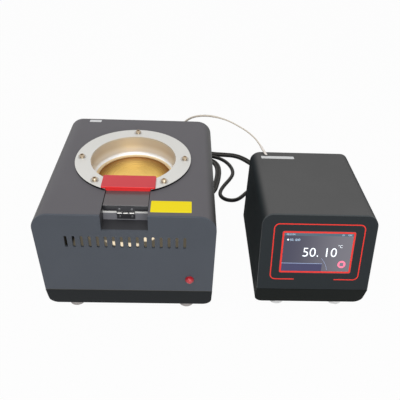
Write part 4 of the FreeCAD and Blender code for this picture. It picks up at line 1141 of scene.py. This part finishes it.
@dataclass
class ScreenPicture:
    """What the lit screen shows, measured on the front plate's face like the printed lines."""

    plane: Plane
    glass: float
    half_width: float
    v_range: Point2
    corner: float = 0.2
    corner_steps: int = 2
    bar_height: float = 4.6
    level_end: float = 10.0
    level_v: Point2 = (46.6, 46.2)
    level_width: float = 0.7
    curve_start: Point2 = (8.0, 56.0)
    curve_reach: float = 10.6
    curve_turn: float = 0.16
    curve_drop: float = 2.3
    curve_points: int = 10
    curve_width: float = 0.35
    button: Point2 = (41.2, 45.4)
    button_radius: float = 6.3
    square_half: float = 3.2
    square_corner: float = 1.5
    square_steps: int = 4
    dot: Point2 = (-47.4, 86.9)
    dot_radius: float = 1.4
    dot_steps: int = 20

    def build(self) -> None:
        """Adds the status bar, the level with its curve, the button, the dot and the readings."""
        half, (bottom, top) = self.half_width, self.v_range
        bar = self.area_outline((-half, half), (top - self.bar_height, top))
        lower = self.area_outline((-half, self.level_end), (bottom, sum(self.level_v) / 2))
        level = [(-half, self.level_v[0]), (self.level_end, self.level_v[1])]
        middle_x, middle_y = self.button
        square = rounded_outline(
            (middle_x - self.square_half, middle_x + self.square_half),
            (middle_y - self.square_half, middle_y + self.square_half),
            self.square_corner, self.square_steps,
        )
        self.patch("screen_status_bar", bar, Layer.FIELD, SCREEN_BAR)
        self.patch("screen_lower_field", lower, Layer.FIELD, SCREEN_DARK)
        self.line("screen_level_line", level, self.level_width)
        self.line("screen_curve", self.curve(), self.curve_width)
        disc = circle_outline(*self.button, self.button_radius)
        self.patch("screen_button", disc, Layer.LINE, SCREEN_PINK)
        self.patch("screen_button_square", square, Layer.MARK, SCREEN_HOLE)
        dot = circle_outline(*self.dot, self.dot_radius, self.dot_steps)
        self.patch("screen_dot", dot, Layer.LINE, SCREEN_TEXT)
        self.build_readings()

    def build_readings(self) -> None:
        """Adds the numbers and letters: name, text, height, lower left corner and finish of each."""
        for name, text, height, start, finish in (
            ("screen_reading", "50. 10", 16.0, (-23.5, 58.4), SCREEN_TEXT),
            ("screen_unit", "°C", 5.0, (31.6, 74.4), SCREEN_TEXT),
            ("screen_target", "50. 000", 3.9, (-44.6, 85.0), SCREEN_PALE),
            ("screen_clock", "00:15:24", 2.8, (-50.5, 94.7), SCREEN_PALE),
            ("screen_channel", "01", 2.8, (36.0, 94.7), SCREEN_PALE),
            ("screen_state", "ON", 2.8, (45.0, 94.7), SCREEN_PALE),
        ):
            mesh = self.plane.lettering(name, text, height, start, self.heights(Layer.LINE))
            add_piece(name, mesh, finish, Body.BASE)

    def heights(self, layer: Layer) -> Point2:
        """Returns a layer's bottom and top above the front plate's face."""
        bottom, top = layer.value
        return (self.glass + bottom, self.glass + top)

    def area_outline(self, x_range: Point2, y_range: Point2) -> list[Point2]:
        """Returns the outline of an upright field."""
        return rounded_outline(x_range, y_range, self.corner, self.corner_steps)

    def curve(self) -> list[Point2]:
        """Returns the falling curve's points.

        Returns:
            The points, from the top down.
        """
        x, y = self.curve_start
        return [
            (x + self.curve_reach * math.sin(step * self.curve_turn), y - self.curve_drop * step)
            for step in range(self.curve_points)
        ]

    def patch(self, name: str, outline: Sequence[Point2], layer: Layer, finish: Finish) -> None:
        """Adds a lit area."""
        mesh = self.plane.patch(name, outline, self.heights(layer))
        add_piece(name, mesh, finish, Body.BASE)

    def line(self, name: str, points: Sequence[Point2], width: float) -> None:
        """Adds a lit line."""
        mesh = self.plane.ribbon(name, points, width, self.heights(Layer.LINE), False)
        add_piece(name, mesh, SCREEN_LINE, Body.BASE)


@dataclass
class ControllerFront:
    """Printed lines and the lit screen on the controller's tilted front."""

    tilt: float = 17.0
    print_thickness: float = 0.06
    line_width: float = 1.7
    line_half_width: float = 70.2
    line_v: Point2 = (18.5, 113.4)
    line_corner: float = 8.0
    line_gap: float = 32.0
    glass_drop: float = 0.5
    screen_half_width: float = 54.0
    screen_v: Point2 = (32.7, 98.5)
    border_width: float = 2.8

    def plane(self) -> Plane:
        """Returns the front plate's face, measured from the middle of its lower edge.

        Returns:
            The plane.
        """
        low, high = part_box("controller_base_tray")
        slope = math.radians(self.tilt)
        origin = Vector(((low.x + high.x) / 2, low.y, high.z))
        return Plane(origin, ACROSS, BACKWARD * math.sin(slope) + UPWARD * math.cos(slope))

    def build(self) -> None:
        """Adds the outer line, the border of the screen and what the screen shows."""
        plane = self.plane()
        above = (0.0, self.print_thickness)
        line = self.outer_line()
        mesh = plane.ribbon("outer_red_line", line, self.line_width, above, False)
        add_piece("outer_red_line", mesh, RED_PRINT, Body.BASE)
        half = self.screen_half_width + self.border_width / 2
        v_range = (self.screen_v[0] - self.border_width / 2, self.screen_v[1] + self.border_width / 2)
        border = rounded_outline((-half, half), v_range, self.border_width / 2)
        on_glass = (-self.glass_drop, self.print_thickness - self.glass_drop)
        mesh = plane.ribbon("screen_border", border, self.border_width, on_glass, True)
        add_piece("screen_border", mesh, RED_PRINT, Body.BASE)
        ScreenPicture(plane, -self.glass_drop, self.screen_half_width, self.screen_v).build()

    def outer_line(self) -> list[Point2]:
        """Returns the middle of the outer line, from one side of its gap round to the other.

        Returns:
            The line's points.
        """
        outline = rounded_outline(
            (-self.line_half_width, self.line_half_width), self.line_v, self.line_corner,
        )
        return [(self.line_gap, self.line_v[0]), *outline, (-self.line_gap, self.line_v[0])]


@dataclass
class ControllerTop:
    """The plain sticker at the back of the controller's cover."""

    thickness: float = 0.14
    corner: float = 1.0
    sticker_x: Point2 = (-72.8, -14.5)
    sticker_from_front: Point2 = (195.5, 203.5)

    def build(self) -> None:
        """Adds the sticker."""
        low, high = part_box("controller_base_tray")
        origin = Vector(((low.x + high.x) / 2, low.y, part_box("controller_cover")[1].z))
        plane = Plane(origin, ACROSS, BACKWARD)
        outline = rounded_outline(self.sticker_x, self.sticker_from_front, self.corner)
        mesh = plane.patch("controller_sticker", outline, (0.0, self.thickness))
        add_piece("controller_sticker", mesh, WHITE_STICKER, Body.BASE)


@dataclass
class SwitchMarks:
    """The bar and the circle moulded on the two faces of the mains rocker.

    dip and peak are a face's distances from the pivot at the rocker's middle and at its ends, and tip
    is the rocker's turn at rest, in degrees.
    """

    tip: float = -10.0
    dip: float = 3.4
    peak: float = 5.4
    half_height: float = 11.2
    mark_size: float = 2.2
    mark_width: float = 0.7
    mark_thickness: float = 0.08
    circle_steps: int = 28

    def face(self, side: int) -> Plane:
        """Returns one face of the rocker, seen from behind the controller.

        Args:
            side: 1 for the upper face and -1 for the lower one.

        Returns:
            The face, measured from its middle.
        """
        pivot = Vector(next(j["pos_m"] for j in frame["joints"] if j["name"] == "rocker_pivot"))
        turn = Matrix.Rotation(math.radians(self.tip), 3, "X")
        middle = Vector((0, (self.dip + self.peak) / 2, side * self.half_height / 2)) * MM
        up = Vector((0, side * (self.peak - self.dip), self.half_height)).normalized()
        return Plane(pivot + turn @ middle, -ACROSS, turn @ up)

    def build(self) -> None:
        """Adds the two marks."""
        raised = (0.0, self.mark_thickness)
        size = self.mark_size
        bar = self.face(1).ribbon("switch_bar", [(0, -size), (0, size)], self.mark_width, raised, False)
        circle = self.face(-1).ribbon(
            "switch_circle", circle_outline(0, 0, size, self.circle_steps), self.mark_width, raised, True,
        )
        add_piece("switch_bar", bar, WHITE_MARK, Body.ROCKER)
        add_piece("switch_circle", circle, WHITE_MARK, Body.ROCKER)


@dataclass
class LeadPlug:
    """A round plug with a fluted coupling ring, a plain body and a ribbed strain relief.

    The coupling's entries are distance from the back plate, radius and depth of the flutes. A rib's are
    distance along it and drop below its radius. tail is the radius at the end of the strain relief.
    """

    tail: float
    steps: int = 56
    coupling: tuple[Point3, ...] = (
        (2.0, 8.7, 0.0), (2.0, 10.4, 0.0), (2.8, 11.0, 0.0), (4.6, 11.0, 0.0), (5.0, 10.9, 0.55),
        (15.2, 10.9, 0.55), (15.6, 11.0, 0.0), (19.4, 11.0, 0.0), (20.0, 10.4, 0.0), (20.0, 9.2, 0.0),
        (31.6, 9.2, 0.0), (33.0, 8.6, 0.0),
    )
    ribs: int = 4
    rib_start: float = 33.4
    rib_pitch: float = 4.0
    rib_radius: float = 8.0
    rib_shape: tuple[Point2, ...] = ((0.0, 0.0), (2.2, 0.2), (2.4, 0.9), (3.8, 1.1))
    groove_depth: float = 0.2
    length: float = 50.0
    end_bevel: Point2 = (0.8, 0.6)
    end_radius: float = 3.0

    def profile(self) -> list[Point3]:
        """Returns the plug's outline from its face to the end of its strain relief.

        Returns:
            Distance from the back plate, radius and depth of the flutes at each point.
        """
        points = list(self.coupling)
        for rib in range(self.ribs):
            start = self.rib_start + rib * self.rib_pitch
            radius = self.rib_radius + (self.tail - self.rib_radius) * rib / self.ribs
            for along, drop in self.rib_shape:
                points.append((start + along, max(radius - drop, self.tail - self.groove_depth), 0.0))
        back, inward = self.end_bevel
        points.append((self.length - back, self.tail, 0.0))
        points.append((self.length, self.tail - inward, 0.0))
        points.append((self.length, self.end_radius, 0.0))
        return points

    def mesh(self, name: str, base: Vector) -> bpy.types.Mesh:
        """Turns the profile about an axis that runs to the back.

        Args:
            name: The mesh's name.
            base: Middle of the socket, on the back plate.

        Returns:
            The mesh.
        """
        shape = bmesh.new()
        rings = []
        for along, radius, flute in self.profile():
            ring = []
            for step in range(self.steps):
                angle = 2 * math.pi * step / self.steps
                reach = radius - (flute if step % 2 else 0.0)
                offset = Vector((math.cos(angle) * reach, along, math.sin(angle) * reach)) * MM
                ring.append(shape.verts.new(base + offset))
            rings.append(ring)
        join_rings(shape, rings)
        return mesh_of(name, shape)


@dataclass
class Lead:
    """A flexible lead: its route from the heater to the controller, in metres.

    route holds (x from the heater's middle, distance behind the heater's back, height), landing holds
    offsets from the lead's far end, and girth scales the thickness of its first and second half.
    """

    name: str
    finish: Finish
    slot: str
    diameter: float
    length: float
    stiffness: str
    route: tuple[Point3, ...]
    landing: tuple[Point3, ...]
    with_pieces: list[object] = field(default_factory=list)
    girth: Point2 = (1.0, 1.0)
    curve_order: int = 3
    steps_between: int = 8
    round_steps: int = 6

    def curve(self, first: Vector, last: Vector) -> bpy.types.Curve:
        """Makes the route's smooth line.

        Args:
            first: The lead's end at the heater.
            last: Its end at the controller.

        Returns:
            The curve, with no thickness.
        """
        middle_x = box_middle("heater_front_plate").x
        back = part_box("heater_back_plate")[1].y
        route = [Vector((middle_x + x, back + behind, z)) for x, behind, z in self.route]
        points = [first, *route, *(last + Vector(offset) for offset in self.landing), last]
        curve = bpy.data.curves.new(self.name + "_sheath", "CURVE")
        curve.dimensions = "3D"
        spline = curve.splines.new("NURBS")
        spline.points.add(len(points) - 1)
        for index, (knot, point) in enumerate(zip(spline.points, points)):
            knot.co = (*point, 1.0)
            knot.radius = self.girth[2 * index >= len(points)]
        spline.order_u = self.curve_order
        spline.use_endpoint_u = True
        spline.resolution_u = self.steps_between
        return curve

    def build(self, first: Vector, last: Vector) -> None:
        """Adds the lead between its two ends.

        Args:
            first: The lead's end at the heater.
            last: Its end at the controller.
        """
        curve = self.curve(first, last)
        curve.bevel_depth = self.diameter / 2
        curve.bevel_resolution = self.round_steps
        curve.use_fill_caps = True
        piece = add_piece(self.name + "_sheath", curve, self.finish, Body.BASE)
        self.declare(piece, first)

    def declare(
        self, piece: bpy.types.Object, first: Vector, path: Optional[Sequence[Vector]] = None,
    ) -> None:
        """Hides the lead's solid, in whose place the lead's piece shows.

        Args:
            piece: The lead's object; not used.
            first: Where it leaves the heater; not used.
            path: Points along its middle, for a lead that is a mesh; not used.
        """
        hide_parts(self.name)


@dataclass
class TwinLead(Lead):
    """A lead with two cores side by side in one flat sheath, which draw together at the plugs.

    Its sizes are in metres like its route, and waist is in degrees.
    """

    core_radius: float = 0.0036
    end_apart: float = 0.0015
    end_ease: float = 0.025
    waist: float = 30.0
    arc_steps: int = 14
    smooth_angle: float = 0.9

    def build(self, first: Vector, last: Vector) -> None:
        """Adds the lead between its two ends.

        Args:
            first: The lead's end at the heater.
            last: Its end at the controller.
        """
        line_mesh = mesh_from_curve(self.name + "_line", self.curve(first, last))
        line = [vertex.co.copy() for vertex in line_mesh.vertices]
        bpy.data.meshes.remove(line_mesh)
        piece = add_piece(self.name + "_sheath", self.sheath(line), self.finish, Body.BASE)
        self.declare(piece, first, line)

    def sheath(self, line: Sequence[Vector]) -> bpy.types.Mesh:
        """Makes the sheath along its middle line.

        Args:
            line: Points along the middle of the lead.

        Returns:
            The mesh.
        """
        run = [0.0]
        for here, there in zip(line, line[1:]):
            run.append(run[-1] + (there - here).length)
        shape = bmesh.new()
        rings = []
        for index, point in enumerate(line):
            ahead = (line[min(index + 1, len(line) - 1)] - line[max(index - 1, 0)]).normalized()
            side = ahead.cross(UPWARD).normalized()
            upward = side.cross(ahead)
            outline = self.section(min(run[index], run[-1] - run[index]))
            rings.append([shape.verts.new(point + side * x + upward * y) for x, y in outline])
        join_rings(shape, rings)
        return mesh_of(self.name + "_sheath", shape, self.smooth_angle)

    def section(self, from_end: float) -> list[Point2]:
        """Returns the outline of the two cores and the web between them.

        Args:
            from_end: Distance along the lead from its nearer end.

        Returns:
            The outline's points, across and up.
        """
        radius = self.core_radius
        share = min(from_end / self.end_ease, 1.0)
        apart = self.end_apart + (radius - self.end_apart) * share * share * (3 - 2 * share)
        waist = max(math.radians(self.waist), math.acos(min(apart / radius, 1.0)))
        points = []
        for core in (1, -1):
            for step in range(self.arc_steps + 1):
                angle = (math.pi - waist) * (2 * step / self.arc_steps - 1)
                x, y = apart + radius * math.cos(angle), radius * math.sin(angle)
                points.append((core * x, core * y))
        return points


@dataclass
class Wiring:
    """The three leads between the housings, with their plugs."""

    plug_radius: float = 11.0
    heater_lead_tail: float = 6.3
    link_lead_tail: float = 5.4
    sleeve_lean: Point2 = (-0.85, 0.8)
    sleeve_rise: float = 11.5
    twin_floor: float = 0.0039
    link_floor: float = 0.0045

    def plug_ends(self, node: str) -> tuple[Vector, Vector]:
        """Returns the middles of a lead's two sockets on the back plates, heater first.

        Args:
            node: The node that holds the lead's plugs.

        Returns:
            The two middles, in metres.
        """
        low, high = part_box(node)
        radius = self.plug_radius * MM
        height = (low.z + high.z) / 2
        heater_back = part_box("heater_back_plate")[1].y
        controller_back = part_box("controller_back_plate")[1].y
        near = Vector((low.x + radius, heater_back, height))
        far = Vector((high.x - radius, controller_back, height))
        return near, far

    def plugged_lead(self, lead: Lead, plug: LeadPlug) -> None:
        """Adds a lead and the plugs on its two ends.

        Args:
            lead: The lead.
            plug: The form of its plugs.
        """
        node = lead.name + "_plugs"
        sockets = self.plug_ends(node)
        for end, socket in zip(("heater", "controller"), sockets):
            name = f"{lead.name}_{end}_plug"
            piece = add_piece(name, plug.mesh(name, socket), BLACK_PLASTIC, Body.BASE)
            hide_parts(node)
            lead.with_pieces.append(piece)
        reach = Vector((0, plug.length * MM, 0))
        lead.build(sockets[0] + reach, sockets[1] + reach)

    def build(self) -> None:
        """Adds the leads."""
        self.plugged_lead(self.heater_lead(), LeadPlug(self.heater_lead_tail))
        self.plugged_lead(self.link_lead(), LeadPlug(self.link_lead_tail))
        gland = box_middle("sensor_gland")
        first = Vector((gland.x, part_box("sensor_gland")[1].y, gland.z))
        jack = box_middle("sensor_jack")
        mouth = Vector((jack.x, jack.y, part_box("sensor_jack")[1].z))
        lean = Vector((self.sleeve_lean[0], self.sleeve_lean[1], 1.0))
        self.sensor_lead().build(first, mouth + lean * (self.sleeve_rise * MM))

    def heater_lead(self) -> TwinLead:
        """Returns the lead that carries the heater's current.

        Returns:
            The lead, with its route.
        """
        z = self.twin_floor
        return TwinLead(
            name="heater_lead", finish=LEAD_BLACK, slot="lead_black", diameter=0.0144, length=1.054,
            stiffness="limp",
            route=(
                (0.074, 0.071, 0.048), (0.0735, 0.093, 0.038), (0.072, 0.112, 0.0225),
                (0.0705, 0.131, 0.0095), (0.072, 0.152, z), (0.084, 0.172, z), (0.1047, 0.1835, z),
                (0.1287, 0.1835, z), (0.149, 0.1735, z), (0.16, 0.154, z), (0.1615, 0.128, z),
                (0.1585, 0.101, z), (0.1535, 0.075, z), (0.147, 0.05, z), (0.13, 0.032, z),
                (0.104, 0.0255, z), (0.077, 0.027, z), (0.051, 0.037, z), (0.029, 0.055, z),
                (0.013, 0.079, z), (0.005, 0.107, z), (0.006, 0.136, z), (0.017, 0.163, z),
                (0.036, 0.185, z), (0.061, 0.2, z), (0.089, 0.2095, z), (0.119, 0.213, z),
                (0.15, 0.2045, z), (0.179, 0.2025, z), (0.205, 0.2, z), (0.225, 0.1865, z),
                (0.241, 0.167, z), (0.26, 0.144, z), (0.28, 0.121, z), (0.302, 0.1, z),
            ),
            landing=(
                (-0.023, 0.086, -0.0415), (-0.009, 0.065, -0.0335), (-0.002, 0.045, -0.017),
                (0.0, 0.023, 0.0),
            ),
        )

    def link_lead(self) -> Lead:
        """Returns the lead that carries signals.

        Returns:
            The lead, with its route.
        """
        z = self.link_floor
        return Lead(
            name="link_lead", finish=LEAD_BLACK, slot="lead_black", diameter=0.0084, length=0.661,
            stiffness="limp",
            route=(
                (0.036, 0.071, 0.048), (0.036, 0.093, 0.038), (0.0365, 0.112, 0.0225),
                (0.039, 0.131, 0.009), (0.046, 0.154, z), (0.059, 0.1735, z), (0.079, 0.188, z),
                (0.104, 0.1955, z), (0.13, 0.196, z), (0.153, 0.1915, z), (0.171, 0.1815, z),
                (0.1855, 0.164, z), (0.1945, 0.14, z), (0.195, 0.117, z), (0.186, 0.096, z),
                (0.174, 0.076, z), (0.164, 0.056, z), (0.16, 0.038, z), (0.1655, 0.0245, z),
                (0.1778, 0.0172, z), (0.192, 0.0175, z), (0.204, 0.026, z), (0.218, 0.0445, z),
                (0.233, 0.062, z),
            ),
            landing=(
                (-0.054, 0.0765, -0.0405), (-0.03, 0.0745, -0.031), (-0.0105, 0.0605, -0.018),
                (-0.001, 0.039, -0.006), (0.0, 0.0195, 0.0),
            ),
        )

    def sensor_lead(self) -> Lead:
        """Returns the thin lead from the heater's gland to the jack in the controller's top.

        Returns:
            The lead, with its route.
        """
        return Lead(
            name="sensor_lead", finish=SENSOR_BRAID, slot="sensor_braid", diameter=0.0034, length=0.224,
            stiffness="stiff",
            route=(
                (0.0665, 0.027, 0.16), (0.073, 0.0385, 0.168), (0.0825, 0.0425, 0.1785),
                (0.095, 0.0385, 0.189), (0.109, 0.03, 0.1967), (0.1235, 0.021, 0.202),
                (0.138, 0.0125, 0.2045), (0.154, 0.004, 0.2045), (0.169, -0.005, 0.2025),
            ),
            landing=(
                (-0.037, 0.0392, 0.017), (-0.0245, 0.0285, 0.0145), (-0.014, 0.0165, 0.011),
                (-0.0062, 0.00583, 0.00729),
            ),
            with_pieces=[frame["nodes"]["sensor_gland"], frame["nodes"]["sensor_sleeve"]],
            girth=(1.1, 0.75),
        )


@dataclass
class Studio:
    """Pale floor, soft light and the photograph's camera.

    The camera's place is measured from the middle of the heater's front plate at bench height, in
    millimetres. The floor and the lamps are in metres, and angles are in degrees.
    """

    camera_place: Point3 = (82.96, -494.02, 608.37)
    focal_pixels: float = 464.73
    pitch: float = 37.36
    yaw: float = 2.45
    roll: float = 2.67
    sensor: float = 36.0
    floor_size: float = 8.0
    floor_drop: float = 0.0004
    world_strength: float = 0.3
    key_place: Point3 = (-0.25, -0.25, 1.5)
    key_size: Point2 = (1.7, 1.3)
    key_watts: float = 10.0
    fill_place: Point3 = (0.3, -1.7, 0.9)
    fill_size: Point2 = (1.6, 1.0)
    fill_watts: float = 15.0
    lamp_aim: Point3 = (0.0, 0.0, 0.1)
    nearest: float = 0.01
    floor_glow: float = 0.97
    floor_tones: Point2 = (0.48, 0.52)
    floor_roughness: float = 0.9
    cloud_scale: float = 3.0
    cloud_detail: float = 2.0

    def build(self) -> None:
        """Adds the floor, the light and the camera."""
        scene = bpy.context.scene
        scene.view_settings.view_transform = "Standard"
        self.build_floor()
        self.build_world(scene)
        self.area_lamp("key_lamp", Vector(self.key_place), self.key_size, self.key_watts)
        self.area_lamp("front_lamp", Vector(self.fill_place), self.fill_size, self.fill_watts)
        scene.camera = self.build_camera()

    def build_camera(self) -> bpy.types.Object:
        """Returns the camera, set to the photograph's view.

        Returns:
            The camera's object.
        """
        pitch, yaw, roll = (math.radians(a) for a in (self.pitch, self.yaw, self.roll))
        ahead = Vector((math.sin(yaw) * math.cos(pitch), math.cos(yaw) * math.cos(pitch), -math.sin(pitch)))
        level = Vector((math.cos(yaw), -math.sin(yaw), 0.0))
        upright = level.cross(ahead)
        right = level * math.cos(roll) + upright * math.sin(roll)
        up = upright * math.cos(roll) - level * math.sin(roll)
        lens = bpy.data.cameras.new("photo_camera")
        lens.sensor_width = self.sensor
        lens.lens = self.focal_pixels / PHOTO_PIXELS * self.sensor
        lens.dof.use_dof = False
        lens.clip_start = self.nearest
        camera = bpy.data.objects.new("photo_camera", lens)
        bpy.context.scene.collection.objects.link(camera)
        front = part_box("heater_front_plate")[0]
        origin = Vector((box_middle("heater_front_plate").x, front.y, 0.0))
        turn = Matrix((right, up, -ahead)).transposed().to_4x4()
        camera.matrix_world = Matrix.Translation(origin + Vector(self.camera_place) * MM) @ turn
        return camera

    def area_lamp(self, name: str, place: Vector, size: Point2, watts: float) -> None:
        """Adds a soft lamp that points at the object.

        Args:
            name: The lamp's name.
            place: Its middle.
            size: Its width and height, in metres.
            watts: Its power.
        """
        lamp = bpy.data.lights.new(name, "AREA")
        lamp.shape = "RECTANGLE"
        lamp.size, lamp.size_y = size
        lamp.energy = watts
        holder = bpy.data.objects.new(name, lamp)
        bpy.context.scene.collection.objects.link(holder)
        holder.location = place
        aim = Vector(self.lamp_aim) - place
        holder.rotation_euler = aim.to_track_quat("-Z", "Y").to_euler()

    def seen_directly(self, tree: bpy.types.NodeTree) -> Socket:
        """Adds a factor that is 1 for camera, glossy and transmission rays and returns it.

        Args:
            tree: The node tree of a material or a world.

        Returns:
            The factor.
        """
        path = tree.nodes.new("ShaderNodeLightPath")
        total = path.outputs["Is Camera Ray"]
        for ray in ("Is Glossy Ray", "Is Transmission Ray"):
            either = tree.nodes.new("ShaderNodeMath")
            either.operation = "MAXIMUM"
            tree.links.new(total, either.inputs[0])
            tree.links.new(path.outputs[ray], either.inputs[1])
            total = either.outputs["Value"]
        return total

    def build_world(self, scene: bpy.types.Scene) -> None:
        """Sets an even white world, seen as plain white.

        Args:
            scene: The scene that it lights.
        """
        world = bpy.data.worlds.new("studio_world")
        world.use_nodes = True
        tree = world.node_tree
        back = tree.nodes["Background"]
        back.inputs["Color"].default_value = (1.0, 1.0, 1.0, 1.0)
        strength = tree.nodes.new("ShaderNodeMapRange")
        strength.inputs["To Min"].default_value = self.world_strength
        strength.inputs["To Max"].default_value = 1.0
        tree.links.new(self.seen_directly(tree), strength.inputs["Value"])
        tree.links.new(strength.outputs["Result"], back.inputs["Strength"])
        scene.world = world

    def build_floor(self) -> None:
        """Adds a pale floor that is seen nearly white and keeps the object's shadow."""
        shape = bmesh.new()
        half = self.floor_size / 2
        corners = [(-half, -half), (half, -half), (half, half), (-half, half)]
        shape.faces.new([shape.verts.new((x, y, -self.floor_drop)) for x, y in corners])
        floor = bpy.data.objects.new("floor", mesh_of("floor", shape))
        bpy.context.scene.collection.objects.link(floor)
        sheet = ShaderSheet("floor_pale")
        place = sheet.add("ShaderNodeTexCoord").outputs["Object"]
        cloud = sheet.noise(place, self.cloud_scale, self.cloud_detail)
        dark, pale = ((tone, tone, tone, 1.0) for tone in self.floor_tones)
        colour = sheet.between(cloud.outputs["Fac"], dark, pale)
        sheet.join(colour, sheet.shader.inputs["Base Color"])
        sheet.set("Roughness", self.floor_roughness)
        glow = sheet.add("ShaderNodeEmission")
        share = sheet.math("MULTIPLY", self.seen_directly(sheet.tree), self.floor_glow)
        mix = sheet.add("ShaderNodeMixShader")
        sheet.join(share, mix.inputs[0])
        sheet.join(sheet.shader.outputs["BSDF"], mix.inputs[1])
        sheet.join(glow.outputs["Emission"], mix.inputs[2])
        sheet.join(mix.outputs["Shader"], sheet.tree.nodes["Material Output"].inputs["Surface"])
        floor.data.materials.append(sheet.material)


def main() -> None:
    """Builds the pieces in order and reports them."""
    logging.basicConfig(level=logging.INFO, format="%(name)s: %(message)s")
    Studio().build()
    Wiring().build()
    dress_nodes()
    HeaterTop().build()
    ControllerTop().build()
    ControllerFront().build()
    SwitchMarks().build()


if __name__ == "__main__":
    main()
